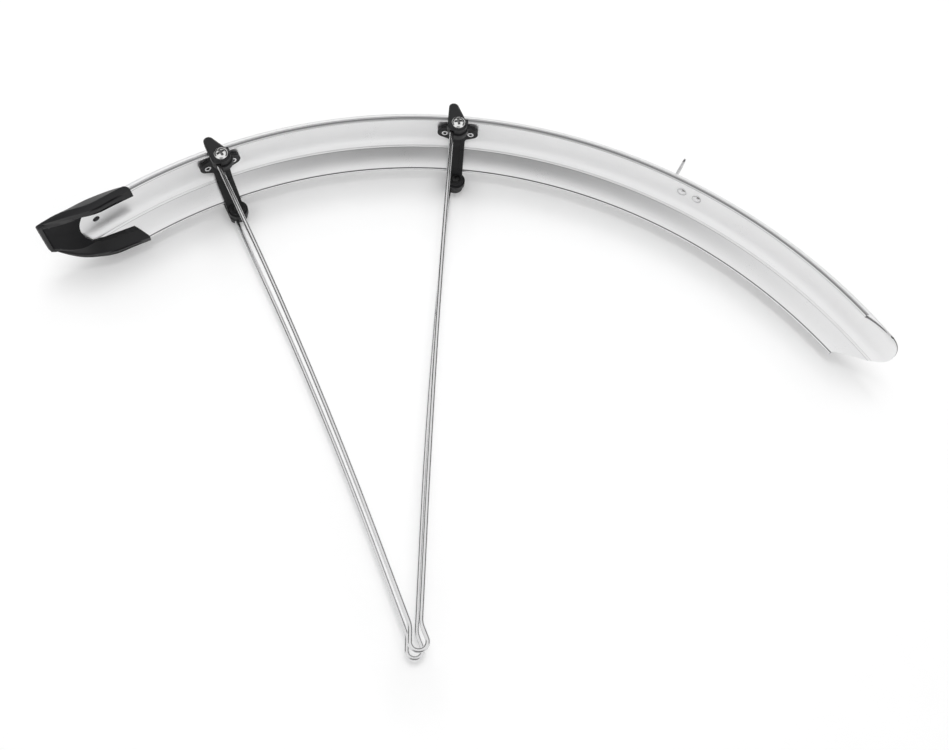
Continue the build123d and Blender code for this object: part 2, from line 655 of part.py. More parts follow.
def shoe_mouth():
    """Opening of the shoe's inner side: straight between the lips and hollow at the panel."""
    run = SHOE_MOUTH_RUN - SHOE_STATIONS[0].run + CUT_MARGIN
    half, lip_half = HALF_WIDTH - SHOE_MOUTH_INSET, HALF_WIDTH - SHOE_LIP_INSET
    corner, far_corner = (SHOE_MOUTH_DEPTH, half), (SHOE_MOUTH_DEPTH, -half)
    sides = Polyline(corner, (run, lip_half), (run, -lip_half), far_corner)
    hollow = ThreePointArc(far_corner, (0, 0), corner)
    plan = make_face(Wire(sides.edges() + hollow.edges()))
    prism = Pos(0, 0, RIM_RADIUS - CROWN_DEPTH) * extrude(plan, 3 * CROWN_DEPTH)
    under = parallel(INNER_CHAIN, SHEET / 2)
    floor = [(BLADE_WIDTH, under[-1][1]), (BLADE_WIDTH, -CROWN_DEPTH)]
    ring = under + floor + [(-y, z) for y, z in reversed(floor)]
    start = behind(SHOE_MOUTH_RUN + CUT_MARGIN)
    inside = on_main_arc(start) * turned(section(ring, RIM_RADIUS), start - SHOE_FRONT)
    return on_main_arc(behind(SHOE_MOUTH_RUN)) * prism & inside


def make_end_shoe():
    """Skin over the rear end, rails under both rims, inner panel, flap and locking stud."""
    body = loft([station_section(st) for st in SHOE_STATIONS], ruled=True)
    shoe = body - shoe_mouth() - blade_pocket()
    stud = rod_z(STUD_DIAMETER / 2, RIM_RADIUS + CROWN_DEPTH, SHEET + POCKET_GAP + SHOE_SKIN / 2)
    return shoe + on_main_arc(behind(STUD_RUN)) * stud


# Assembly
def collect():
    """Every piece by name, in the wheel frame."""
    nodes = {"blade": make_blade(), "end_shoe": make_end_shoe(), "crown_tab": make_crown_tab()}
    for end, frame in zip(("rear", "front"), place_rivets_on_tab()):
        nodes[f"crown_tab_rivet_{end}"] = frame * make_tab_rivet()
    bridge, eyelet = make_bridge(), make_eyelet()
    clamp = {"cap": make_cap(), "screw": make_screw(), "nut": make_nut()}
    for place, angle in (("rear", REAR_BRIDGE_ANGLE), ("front", FRONT_BRIDGE_ANGLE)):
        nodes[f"{place}_bridge"] = on_main_arc(angle) * bridge
        for end, frame in zip(("rear", "front"), place_eyelets(angle)):
            nodes[f"{place}_bridge_eyelet_{end}"] = frame * eyelet
    for side, stay in STAYS.items():
        nodes[f"{side}_stay"] = stay.wire()
        angles = (REAR_BRIDGE_ANGLE, FRONT_BRIDGE_ANGLE)
        for place, angle, screw, (_, lean, _) in zip(("rear", "front"), angles, stay.screws(), stay.legs()):
            along_wire, along_arm = Pos(screw) * on_main_arc(degrees(lean)), Pos(screw) * on_main_arc(angle)
            frames = {"cap": along_wire, "screw": along_wire, "nut": along_arm}
            for piece, frame in frames.items():
                shape = clamp[piece] if stay.side == 1 else mirror(clamp[piece], Plane.XZ)
                nodes[f"{place}_{side}_clamp_{piece}"] = frame * shape
    return nodes


def bolt_hole():
    """Middle of the crown tab's hole, the origin of the finished part."""
    return (on_front_arc(TAB_ANGLE) * Pos(TAB_SHEET / 2 - TAB_BACK, 0, TAB_HOLE_Z)).position


def main():
    """Write each piece to its own file, with the crown tab's hole at the origin."""
    os.makedirs("parts", exist_ok=True)
    home = Pos(-bolt_hole())
    for name, shape in collect().items():
        export_step(home * shape, f"parts/{name}.step")


if __name__ == "__main__":
    main()
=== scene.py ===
"""Looks of a bicycle mudguard that lies on its left side on a white table.

Everything is in the part's own frame: metres, +X forwards, +Y to the left, +Z up, with the bolt hole
of the crown tab at the origin.  The sizes that the classes hold are millimetres about the wheel axle.
"""
import logging
import math
from dataclasses import dataclass, field
from enum import Enum
from typing import Any, Dict, List, Optional, Sequence, Tuple, Union

import bpy
import numpy as np
from mathutils import Matrix


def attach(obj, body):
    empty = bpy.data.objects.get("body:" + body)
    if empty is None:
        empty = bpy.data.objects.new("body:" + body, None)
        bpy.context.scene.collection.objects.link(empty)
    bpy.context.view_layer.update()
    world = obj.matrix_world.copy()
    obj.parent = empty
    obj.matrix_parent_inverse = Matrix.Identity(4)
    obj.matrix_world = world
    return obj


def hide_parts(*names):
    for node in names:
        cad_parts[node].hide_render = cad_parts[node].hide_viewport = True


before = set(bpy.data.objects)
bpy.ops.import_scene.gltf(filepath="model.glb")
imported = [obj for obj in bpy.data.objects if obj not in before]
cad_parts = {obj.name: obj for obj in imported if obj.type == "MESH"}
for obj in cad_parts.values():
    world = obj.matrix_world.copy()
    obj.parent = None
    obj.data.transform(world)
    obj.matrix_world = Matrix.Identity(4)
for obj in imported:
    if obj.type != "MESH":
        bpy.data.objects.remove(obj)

LOG = logging.getLogger("mudguard")
MM = 0.001
BODY = "root"
IMAGE_SIZE = (949, 750)
WHITE = (1.0, 1.0, 1.0, 1.0)
# Rounded edges of copied nodes: gap that is welded, steps, smallest angle in degrees, weight of flat faces
WELD_GAP = 0.002
ROUND_STEPS = 3
ROUND_LIMIT = 28.0
FLAT_WEIGHT = 80
# Rounded corners of an outline reach at most this share of a side
SIDE_SHARE = 0.45
# Bars that cut the rivet holes: reach below and above the crown, and points round them
HOLE_REACH = (-4.0, 5.0)
HOLE_STEPS = 40
# Arcs of the wires: fewest points, and degrees from point to point
ARC_STEPS = 9
ARC_STEP = 6.0
Pair = Tuple[float, float]
Triple = Tuple[float, float, float]
# Angle in degrees, radius, and whether the angle is about the front arc's centre
Hole = Tuple[float, float, bool]


class Slot(Enum):
    """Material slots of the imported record."""

    SHEET = "silver_sheet"
    PLASTIC = "black_plastic"
    WIRE = "stay_wire"
    STRIP = "tab_strip"
    RIVET = "rivet_metal"
    CLAMP = "clamp_steel"


class Side(Enum):
    """Side of the wheel, with the sign of its Y."""

    LEFT = 1
    RIGHT = -1

    @property
    def word(self) -> str:
        """Word that the nodes' names use for the side."""
        return self.name.lower()


# Shader graphs
class Value:
    """A shader socket that takes part in Python arithmetic."""

    def __init__(self, graph: "Graph", socket: bpy.types.NodeSocket) -> None:
        """Keep the socket and the graph that new nodes go to.

        Args:
            graph: graph of the material.
            socket: output socket.
        """
        self.graph = graph
        self.socket = socket

    def _math(self, operation: str, *terms: Any) -> "Value":
        """Add a Math node.

        Args:
            operation: operation of the node.
            terms: values or numbers for its inputs, in order.

        Returns:
            The node's result.
        """
        return self.graph.node("ShaderNodeMath", {"operation": operation}, dict(enumerate(terms)))

    def __add__(self, other: Any) -> "Value":
        """Sum."""
        return self._math("ADD", self, other)

    __radd__ = __add__

    def __sub__(self, other: Any) -> "Value":
        """Difference."""
        return self._math("SUBTRACT", self, other)

    def __rsub__(self, other: Any) -> "Value":
        """Difference from a number."""
        return self._math("SUBTRACT", other, self)

    def __mul__(self, other: Any) -> "Value":
        """Product."""
        return self._math("MULTIPLY", self, other)

    __rmul__ = __mul__

    def size(self) -> "Value":
        """Value without its sign."""
        return self._math("ABSOLUTE", self)

    def larger(self, other: Any) -> "Value":
        """Larger of two values."""
        return self._math("MAXIMUM", self, other)

    def step(self, low: float, high: float) -> "Value":
        """Smooth step.

        Args:
            low: value where the step is 0.
            high: value where the step is 1; below low for a falling step.

        Returns:
            A value from 0 to 1.
        """
        ends = {"From Min": low, "From Max": high, "Value": self}
        return self.graph.node("ShaderNodeMapRange", {"interpolation_type": "SMOOTHSTEP"}, ends)


Input = Union[Value, float, Sequence[float]]


class Graph:
    """Node tree of a material or a world."""

    def __init__(self, tree: bpy.types.NodeTree) -> None:
        """Start from an empty tree.

        Args:
            tree: node tree to fill.
        """
        self.tree = tree
        self.tree.nodes.clear()

    def node(
        self,
        kind: str,
        settings: Optional[Dict[str, Any]] = None,
        inputs: Optional[Dict[Union[str, int], Input]] = None,
        output: Union[str, int] = 0,
    ) -> Value:
        """Add a node.

        Args:
            kind: node type.
            settings: attributes, set first.
            inputs: values or links by socket name or number.
            output: socket that is returned.

        Returns:
            The output as a value.
        """
        made = self.tree.nodes.new(kind)
        for key, setting in (settings or {}).items():
            setattr(made, key, setting)
        for key, item in (inputs or {}).items():
            if isinstance(item, Value):
                self.tree.links.new(item.socket, made.inputs[key])
            else:
                made.inputs[key].default_value = item
        return Value(self, made.outputs[output] if made.outputs else None)

    def place(self) -> Value:
        """Object coordinates."""
        return self.node("ShaderNodeTexCoord", output="Object")

    def skin(self) -> Value:
        """The piece's own UV map, in metres along and across its surface."""
        return self.node("ShaderNodeTexCoord", output="UV")

    def scaled(self, vector: Value, scale: Triple) -> Value:
        """Vector times a scale for each axis."""
        return self.node("ShaderNodeMapping", {}, {"Vector": vector, "Scale": scale})

    def parts(self, vector: Value, axes: str) -> List[Value]:
        """Components of a vector, one for each letter."""
        return [self.node("ShaderNodeSeparateXYZ", {}, {"Vector": vector}, output=axis) for axis in axes]

    def noise(self, vector: Value, scale: float, detail: float = 3.0, roughness: float = 0.55) -> Value:
        """Noise from 0 to 1.

        Args:
            vector: coordinates in metres.
            scale: waves in a metre.
            detail: octaves.
            roughness: weight of the finer octaves.

        Returns:
            The noise.
        """
        inputs = {"Vector": vector, "Scale": scale, "Detail": detail, "Roughness": roughness}
        return self.node("ShaderNodeTexNoise", {}, inputs)

    def blend(self, factor: Input, first: Union[Value, Triple], second: Triple) -> Value:
        """Colour between two colours.

        Args:
            factor: 0 for the first, 1 for the second.
            first: first colour, plain or a value.
            second: second colour.

        Returns:
            The colour.
        """
        start = first if isinstance(first, Value) else (*first, 1.0)
        inputs = {"Factor": factor, 6: start, 7: (*second, 1.0)}
        return self.node("ShaderNodeMix", {"data_type": "RGBA"}, inputs, output=2)

    def bump(self, height: Value, depth: float) -> Value:
        """Normal of a height field.

        Args:
            height: height from 0 to 1.
            depth: real height of 1, in metres.

        Returns:
            The normal.
        """
        return self.node("ShaderNodeBump", {}, {"Height": height, "Distance": depth, "Strength": 1.0})

    def finish(self, shader: Value, output: str = "ShaderNodeOutputMaterial") -> None:
        """Link the last shader to the tree's output."""
        self.node(output, {}, {"Surface": shader})


def new_material(name: str) -> Tuple[bpy.types.Material, Graph]:
    """Material with an empty graph.

    Args:
        name: name of the material.

    Returns:
        The material and its graph.
    """
    material = bpy.data.materials.new(name)
    material.use_nodes = True
    return material, Graph(material.node_tree)


# Finishes
@dataclass(frozen=True)
class SatinSilver:
    """Satin silver skin of the blade: fine metallic grain and faint cloudy patches, with painted shade along
    the creases and rolled edges.

    Each painted shade line is a dark line along the blade that stands for the shade and dark reflections at
    the creases and rims: its place across the skin, its reach, and its share.
    """

    dark: Triple = (0.81, 0.81, 0.815)
    light: Triple = (0.92, 0.92, 0.92)
    roughness: float = 0.30
    grain: float = 2600.0
    cloud: float = 28.0
    streak: Triple = (30.0, 1800.0, 1.0)
    metallic: float = 0.9
    depth: float = 0.000006
    # Painted shade: colour, core and places of the dark lines painted along the creases and rolled rims for
    # shade and dark reflections
    painted_shade_colour: Triple = (0.10, 0.10, 0.105)
    painted_shade_core: float = 0.4
    painted_shade_lines: Tuple[Triple, ...] = ()

    def material(self) -> bpy.types.Material:
        """Make the material.

        Returns:
            The material.
        """
        material, g = new_material("satin_silver")
        place = g.place()
        grain = g.noise(place, self.grain, 2.0)
        cloud = g.noise(place, self.cloud, 4.0)
        streak = g.noise(g.scaled(g.skin(), self.streak), 1.0, 2.0)
        across = g.parts(g.skin(), "Y")[0]
        tone = 0.45 * grain + 0.35 * cloud + 0.2 * streak
        # Painted shade: dark lines along the creases and rolled rims stand for shade and dark reflections
        shade = 0.0
        for place_across, reach, share in self.painted_shade_lines:
            off = (across - place_across * MM).size()
            shade = shade + share * off.step(reach * MM, self.painted_shade_core * reach * MM)
        plain = g.blend(tone, self.dark, self.light)
        inputs = {
            "Base Color": g.blend(shade, plain, self.painted_shade_colour),
            "Metallic": self.metallic,
            "Roughness": self.roughness + 0.10 * (cloud - 0.5) + 0.08 * (grain - 0.5),
            "Normal": g.bump(grain + 0.5 * streak, self.depth),
        }
        g.finish(g.node("ShaderNodeBsdfPrincipled", {}, inputs))
        return material


@dataclass(frozen=True)
class MouldedBlack:
    """Black moulded plastic: spark eroded grain, faint flow marks and a little dust in the grain."""

    name: str = "moulded_black"
    dark: Triple = (0.010, 0.010, 0.011)
    light: Triple = (0.022, 0.022, 0.023)
    roughness: float = 0.46
    gloss: float = 0.28
    grain: float = 2200.0
    flow: float = 60.0
    depth: float = 0.00003

    def material(self) -> bpy.types.Material:
        """Make the material.

        Returns:
            The material.
        """
        material, g = new_material(self.name)
        place = g.place()
        grain = g.noise(place, self.grain, 3.0)
        flow = g.noise(place, self.flow, 4.0)
        inputs = {
            "Base Color": g.blend(0.6 * grain + 0.4 * flow, self.dark, self.light),
            "Roughness": self.roughness + 0.16 * (flow - 0.5) + 0.10 * (grain - 0.5),
            "Specular IOR Level": self.gloss,
            "Normal": g.bump(grain, self.depth),
        }
        g.finish(g.node("ShaderNodeBsdfPrincipled", {}, inputs))
        return material


@dataclass(frozen=True)
class BrightMetal:
    """Bright bare or plated metal with fine marks that run along one direction."""

    name: str
    dark: Triple
    light: Triple
    roughness: float
    stretch: Triple
    on_skin: bool = False
    cloud: float = 240.0
    depth: float = 0.000004

    def material(self) -> bpy.types.Material:
        """Make the material.

        Returns:
            The material.
        """
        material, g = new_material(self.name)
        place = g.skin() if self.on_skin else g.place()
        marks = g.noise(g.scaled(place, self.stretch), 1.0, 3.0)
        cloud = g.noise(g.place(), self.cloud, 3.0)
        inputs = {
            "Base Color": g.blend(0.6 * marks + 0.4 * cloud, self.dark, self.light),
            "Metallic": 1.0,
            "Roughness": self.roughness + 0.10 * (marks - 0.5) + 0.06 * (cloud - 0.5),
            "Normal": g.bump(marks, self.depth),
        }
        g.finish(g.node("ShaderNodeBsdfPrincipled", {}, inputs))
        return material


EVEN_MARKS: Triple = (900.0, 900.0, 900.0)
# Matt copy of the moulded black for the sunk panel: a rougher, less glossy grain, and a darker colour that is
# painted shade
SHADED_MATT_PANEL = MouldedBlack("matt_black_painted_shade", (0.005, 0.005, 0.006), (0.012, 0.012, 0.013), 0.62, 0.10)
DRAWN_WIRE = BrightMetal(
    "drawn_wire", (0.62, 0.62, 0.63), (0.80, 0.80, 0.80), 0.20, (40.0, 2400.0, 1.0), on_skin=True
)
ROLLED_STRIP = BrightMetal(
    "rolled_strip", (0.46, 0.46, 0.47), (0.66, 0.66, 0.66), 0.28, (300.0, 2400.0, 300.0)
)
RIVET_METAL = BrightMetal("rivet_metal", (0.62, 0.62, 0.63), (0.80, 0.80, 0.80), 0.26, EVEN_MARKS)
PLATED_STEEL = BrightMetal("plated_steel", (0.72, 0.72, 0.72), (0.84, 0.84, 0.83), 0.20, EVEN_MARKS)
DARKENED_STEEL = BrightMetal("darkened_steel", (0.03, 0.03, 0.03), (0.07, 0.07, 0.07), 0.42, EVEN_MARKS)
# Dull grey of the blade's cut ends, and painted shade in the screws' cross recesses
CUT_EDGE_AND_RECESS_SHADE = BrightMetal("cut_edge_and_recess_shade", (0.16, 0.16, 0.16), (0.26, 0.26, 0.26), 0.5, EVEN_MARKS)
# Painted shade: near-black finish for the rivets' bores, standing for the shade inside them
BORE_SHADE = BrightMetal("rivet_bore_shade", (0.02, 0.02, 0.02), (0.05, 0.05, 0.05), 0.6, EVEN_MARKS)


class Finishes:
    """The materials of the whole part, made once and found by slot."""

    def __init__(self, painted_shade_lines: Tuple[Triple, ...]) -> None:
        """Make every finish.

        Args:
            painted_shade_lines: painted shade lines of the blade's skin, dark lines that stand for shade and
                dark reflections.
        """
        self.by_slot: Dict[Slot, bpy.types.Material] = {
            Slot.SHEET: SatinSilver(painted_shade_lines=painted_shade_lines).material(),
            Slot.PLASTIC: MouldedBlack().material(),
            Slot.WIRE: DRAWN_WIRE.material(),
            Slot.STRIP: ROLLED_STRIP.material(),
            Slot.RIVET: RIVET_METAL.material(),
            Slot.CLAMP: PLATED_STEEL.material(),
        }
        # painted shade for the rivets' bores
        self.bore = BORE_SHADE.material()
        self.darkened = DARKENED_STEEL.material()
        self.cut_edge_and_recess_shade = CUT_EDGE_AND_RECESS_SHADE.material()
        # matt panel finish, its darker colour painted shade
        self.shaded_matt_panel = SHADED_MATT_PANEL.material()

    def dress(self, obj: bpy.types.Object, slot: Slot) -> None:
        """Give an object the finish of a slot.

        Args:
            obj: node or new piece.
            slot: slot of the record.
        """
        obj.data.materials.clear()
        obj.data.materials.append(self.by_slot[slot])


def refinish(obj: bpy.types.Object, faces: np.ndarray, material: bpy.types.Material) -> None:
    """Give some faces of a dressed piece another finish.

    Args:
        obj: dressed piece.
        faces: whether each face changes.
        material: their finish.
    """
    numbers = np.empty(len(obj.data.polygons), dtype=np.int32)
    obj.data.polygons.foreach_get("material_index", numbers)
    numbers[faces] = len(obj.data.materials)
    obj.data.materials.append(material)
    obj.data.polygons.foreach_set("material_index", numbers)


def face_vectors(obj: bpy.types.Object, kind: str) -> np.ndarray:
    """Centres or normals of a piece's faces.

    Args:
        obj: piece.
        kind: center or normal.

    Returns:
        One vector a face.
    """
    vectors = np.empty(3 * len(obj.data.polygons), dtype=np.float32)
    obj.data.polygons.foreach_get(kind, vectors)
    return vectors.reshape(-1, 3)


# Surfaces
def grid_quads(rows: int, columns: int, wrap_rows: bool, wrap_columns: bool) -> np.ndarray:
    """Corner numbers of the quads of a grid.

    Args:
        rows: points along the first parameter.
        columns: points along the second parameter.
        wrap_rows: whether the last row joins the first.
        wrap_columns: whether the last column joins the first.

    Returns:
        Array of four corner numbers a quad.
    """
    numbers = np.arange(rows * columns).reshape(rows, columns)
    if wrap_rows:
        numbers = np.vstack([numbers, numbers[:1]])
    if wrap_columns:
        numbers = np.hstack([numbers, numbers[:, :1]])
    corners = (numbers[:-1, :-1], numbers[1:, :-1], numbers[1:, 1:], numbers[:-1, 1:])
    return np.stack([c.ravel() for c in corners], axis=1)


def signed_volume(points: np.ndarray, quads: np.ndarray) -> float:
    """Volume inside a closed surface, negative when its faces point inwards.

    The volume is a sixth of the sum over triangles of the triple product of their corners.

    Args:
        points: corner places.
        quads: corner numbers.

    Returns:
        The signed volume.
    """
    a, b, c, d = (points[quads[:, k]] for k in range(4))
    return float((np.cross(a, b) * c + np.cross(a, c) * d).sum() / 6)


def run_along(points: np.ndarray) -> np.ndarray:
    """Length of a chain from its start to each of its points: its steps added up."""
    return np.r_[0, np.cumsum(np.hypot(*np.diff(points, axis=0).T))]


def surface(
    name: str, points: np.ndarray, quads: np.ndarray, skin: Optional[np.ndarray] = None
) -> bpy.types.Object:
    """Smooth mesh object of a surface; the faces of a closed one point outwards.

    Args:
        name: name of the piece.
        points: corner places in metres.
        quads: corner numbers.
        skin: UV of each point, in metres.

    Returns:
        The object.
    """
    if signed_volume(points, quads) < 0:
        quads = quads[:, ::-1]
    mesh = bpy.data.meshes.new(name)
    mesh.from_pydata(points.tolist(), [], quads.tolist())
    mesh.polygons.foreach_set("use_smooth", np.ones(len(mesh.polygons), dtype=bool))
    if skin is not None:
        layer = mesh.uv_layers.new(name="skin")
        loops = np.empty(len(mesh.loops), dtype=np.int32)
        mesh.loops.foreach_get("vertex_index", loops)
        layer.data.foreach_set("uv", skin[loops].astype(np.float32).ravel())
    mesh.update()
    obj = bpy.data.objects.new(name, mesh)
    bpy.context.scene.collection.objects.link(obj)
    return obj


def sleeve(
    name: str, inside: np.ndarray, outside: np.ndarray, skin: Optional[np.ndarray] = None
) -> bpy.types.Object:
    """Closed surface between two sheets of points that lie over each other.

    Row by row a ring runs along the inside and back along the outside; the first and the last row are
    closed by strips between the two.

    Args:
        name: name of the piece.
        inside: rows of points in metres.
        outside: the same rows of the other sheet.
        skin: UV of both sheets' points, ring by ring, in metres.

    Returns:
        The piece.
    """
    rows, half = inside.shape[:2]
    rings = np.concatenate([inside, outside[:, ::-1]], axis=1)
    quads = grid_quads(rows, 2 * half, False, True)
    strip = grid_quads(2, half, False, False)
    strip = np.where(strip < half, strip, 3 * half - 1 - strip)
    quads = np.vstack([quads, strip[:, ::-1], strip + (rows - 1) * 2 * half])
    return surface(name, rings.reshape(-1, 3), quads, skin)


def carve(obj: bpy.types.Object, cutters: Sequence[bpy.types.Object], sharp: float = 50.0) -> None:
    """Cut other shapes out of a piece, and keep its cut edges sharp.

    Args:
        obj: piece to cut.
        cutters: shapes that are cut out and then thrown away.
        sharp: smallest angle of a sharp edge, in degrees.
    """
    for cutter in cutters:
        cut = obj.modifiers.new("cut", "BOOLEAN")
        cut.operation = "DIFFERENCE"
        cut.solver = "EXACT"
        cut.object = cutter
    apply_modifiers(obj)
    for cutter in cutters:
        bpy.data.objects.remove(cutter)
    obj.data.set_sharp_from_angle(angle=math.radians(sharp))


def settle(obj: bpy.types.Object, slot: Slot, finishes: Finishes, *nodes: str) -> bpy.types.Object:
    """Dress a new piece and let it stand for its nodes.

    Args:
        obj: new piece.
        slot: slot of its finish.
        finishes: materials of the part.
        nodes: nodes that it replaces.

    Returns:
        The piece.
    """
    finishes.dress(obj, slot)
    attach(obj, BODY)
    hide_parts(*nodes)
    LOG.info("%s: %d faces, stands for %s", obj.name, len(obj.data.polygons), ", ".join(nodes))
    return obj


def apply_modifiers(obj: bpy.types.Object) -> None:
    """Turn an object's modifiers into its mesh.

    Args:
        obj: object with modifiers.
    """
    graph = bpy.context.evaluated_depsgraph_get()
    mesh = bpy.data.meshes.new_from_object(obj.evaluated_get(graph))
    obj.modifiers.clear()
    old, obj.data = obj.data, mesh
    bpy.data.meshes.remove(old)
    mesh.name = obj.name


def rounded_copy(node: str, name: str, width: float) -> bpy.types.Object:
    """Copy of a node with its edges rounded as a mould or a press leaves them.

    Args:
        node: node to copy.
        name: name of the piece.
        width: width of the rounding in millimetres.

    Returns:
        The piece.
    """
    obj = bpy.data.objects.new(name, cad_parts[node].data.copy())
    bpy.context.scene.collection.objects.link(obj)
    weld = obj.modifiers.new("weld", "WELD")
    weld.merge_threshold = WELD_GAP * MM
    bevel = obj.modifiers.new("round", "BEVEL")
    bevel.width = width * MM
    bevel.segments = ROUND_STEPS
    bevel.limit_method = "ANGLE"
    bevel.angle_limit = math.radians(ROUND_LIMIT)
    bevel.use_clamp_overlap = True
    apply_modifiers(obj)
    obj.data.polygons.foreach_set("use_smooth", np.ones(len(obj.data.polygons), dtype=bool))
    normals = obj.modifiers.new("flat faces", "WEIGHTED_NORMAL")
    normals.keep_sharp = False
    normals.weight = FLAT_WEIGHT
    return obj


# The arch
@dataclass(frozen=True)
class Arch:
    """Two tangent arcs that the rims follow, about the wheel axle."""

    axle: Triple = (-180.643, 0.0, -336.172)
    rim_radius: float = 346.5
    front_radius: float = 371.5
    bend_angle: float = 80.0

    def place(self, angle: np.ndarray, y: np.ndarray, height: np.ndarray) -> np.ndarray:
        """Points of the arch.

        A point lies at the rim's radius plus its height from the axle, at its angle above the forward
        axis; in front of the bend the radius is larger and its centre lies back along the bend's ray.

        Args:
            angle: angles in degrees.
            y: distances from the middle plane.
            height: heights outwards from the rims.

        Returns:
            Points in metres.
        """
        front = angle < self.bend_angle
        shift = np.where(front, self.front_radius - self.rim_radius, 0.0)
        radius = self.rim_radius + shift + height
        bend, turn = math.radians(self.bend_angle), np.radians(angle)
        x = self.axle[0] - shift * math.cos(bend) + radius * np.cos(turn)
        z = self.axle[2] - shift * math.sin(bend) + radius * np.sin(turn)
        return np.stack([x, np.broadcast_to(y, x.shape), z], axis=-1) * MM

    def radial(self, angle: float) -> Tuple[np.ndarray, np.ndarray, np.ndarray]:
        """Forward, left and outward directions at an angle.

        Args:
            angle: angle in degrees.

        Returns:
            Three unit vectors.
        """
        turn = math.radians(angle)
        out = np.array([math.cos(turn), 0.0, math.sin(turn)])
        return np.array([out[2], 0.0, -out[0]]), np.array([0.0, 1.0, 0.0]), out


ARCH = Arch()


@dataclass
class Blade:
    """Rolled sheet blade with its creases, rolled rims, tongues and rivet holes.

    A painted shade line, a dark line that stands for shade and dark reflections, has its distance outwards
    from the foot of a wall or from a crease, its reach and its share.
    """

    width: float = 65.0
    depth: float = 15.7
    drop: float = 2.0
    flat: float = 12.0
    crease_spread: float = 36.0
    crease_run: float = 1.4
    crease_drop: float = 1.0
    crease_way: Tuple[float, ...] = (0.0, 0.3, 0.8, 1.0)
    crease_runs: Tuple[float, ...] = (0.0, 0.53, 0.88, 1.0)
    crease_falls: Tuple[float, ...] = (0.0, 0.22, 1.1, 1.2)
    wall_bow: float = 0.7
    sheet: float = 0.8
    hem_radius: float = 1.8
    hem_turn: float = 240.0
    front_corner: float = 37.6
    tongue_length: float = 31.0
    tongue_tip: float = 31.2
    tongue_round: float = 22.0
    rear_corner: float = 127.4
    rear_length: float = 41.0
    rear_width: float = 36.0
    along: int = 220
    stations: Tuple[int, int, int, int] = (16, 7, 20, 18)
    # Painted shade lines on the rolls and at the creases: distance, reach and share of each
    foot_painted_shade_lines: Tuple[Triple, ...] = ((0.25, 0.6, 0.9), (2.0, 0.4, 0.45), (3.7, 0.9, 0.85))
    crease_painted_shade_lines: Tuple[Triple, ...] = ((0.2, 0.3, 0.35), (-1.7, 0.3, 0.3))
    cut_cosine: float = 0.5
    holes: List[Hole] = field(default_factory=list)

    def half_section(self) -> np.ndarray:
        """Inside of the left half, from the middle of the crown to the end of the roll.

        The crown is flat and then falls as the cube of the way to the crease; the crease is a short
        step; the wall is a line to the roll, bowed evenly outwards; the roll is a circle.

        Returns:
            Points as (y, height).
        """
        crown_n, crease_n, wall_n, roll_n = self.stations
        y = np.linspace(0, self.crease_spread / 2, crown_n)
        way = np.clip((y - self.flat / 2) / ((self.crease_spread - self.flat) / 2), 0, 1)
        crown = np.stack([y, self.depth - self.drop * way ** 3], axis=1)
        share = np.linspace(0, 1, crease_n + 1)[1:]
        run = self.crease_run * np.interp(share, self.crease_way, self.crease_runs)
        fall = self.crease_drop * np.interp(share, self.crease_way, self.crease_falls)
        crease = crown[-1] + np.stack([run, -fall], axis=1)
        start = crease[-1]
        centre = np.array([self.width / 2 - self.hem_radius, self.hem_radius])
        away = centre - start
        heading = math.atan2(away[1], away[0]) - math.asin(self.hem_radius / np.hypot(*away))
        turn = heading + np.radians(np.linspace(0, self.hem_turn, roll_n))
        roll = centre + self.hem_radius * np.stack([np.sin(turn), -np.cos(turn)], axis=1)
        share = np.linspace(0, 1, wall_n + 1)[1:, None]
        out = np.array([-math.sin(heading), math.cos(heading)])
        bow = self.wall_bow * 4 * share * (1 - share)
        wall = start + (roll[0] - start) * share + out * bow
        return np.vstack([crown, crease, wall, roll[1:]])

    def section(self) -> Tuple[np.ndarray, np.ndarray]:
        """Inside and outside lines of the sheet, from the right roll to the left one.

        The outside lies a sheet's thickness along the normal of the inside.

        Returns:
            Two arrays of (y, height).
        """
        half = self.half_section()
        inside = np.vstack([half[:0:-1] * (-1, 1), half])
        run = np.gradient(inside, axis=0)
        normal = np.stack([-run[:, 1], run[:, 0]], axis=1) / np.hypot(run[:, 0], run[:, 1])[:, None]
        return inside, inside + normal * self.sheet

    def painted_shade_lines(self) -> Tuple[Triple, ...]:
        """Painted shade lines along the creases, at the foot of each wall and on the rolls, seen from inside.

        Returns:
            Place across the skin, reach and share of each line.
        """
        inside, _ = self.section()
        across = run_along(inside)
        roll = self.stations[3] - 1
        crease = roll + self.stations[2]
        starts = (
            (roll, -1, self.foot_painted_shade_lines), (crease, -1, self.crease_painted_shade_lines),
            (-1 - roll, 1, self.foot_painted_shade_lines), (-1 - crease, 1, self.crease_painted_shade_lines),
        )
        return tuple(
            (float(across[start] + hand * off), reach, share)
            for start, hand, lines in starts
            for off, reach, share in lines
        )

    def front_end(self, y: np.ndarray, height: np.ndarray) -> np.ndarray:
        """Angle at which the front tongue ends.

        The rolls end square; the tongue's outline between them is a straight flank, an arc of the tip's
        radius and a short straight tip, cut square to the arch at the middle of the tongue.

        Args:
            y: distances from the middle plane.
            height: heights above the rims.

        Returns:
            Angles in degrees.
        """
        half, tip = self.width / 2 - 2 * self.hem_radius, self.tongue_tip / 2
        slope = math.atan2(half - tip, self.tongue_length)
        centre = tip - self.tongue_round * math.tan((math.pi / 2 - slope) / 2)
        touch = centre + self.tongue_round * math.cos(slope)
        off = np.abs(y)
        flank = np.maximum(half - off, 0) / math.tan(slope)
        inside = np.clip(off - centre, 0, self.tongue_round)
        arc = self.tongue_length - self.tongue_round + np.sqrt(self.tongue_round ** 2 - inside ** 2)
        reach = np.where(off > touch, flank, arc) - self.tongue_length / 2
        crown = ARCH.front_radius + self.depth + self.sheet
        middle = self.front_corner - math.degrees(self.tongue_length / 2 / crown)
        return middle - np.degrees(np.arcsin(reach / (ARCH.front_radius + height)))

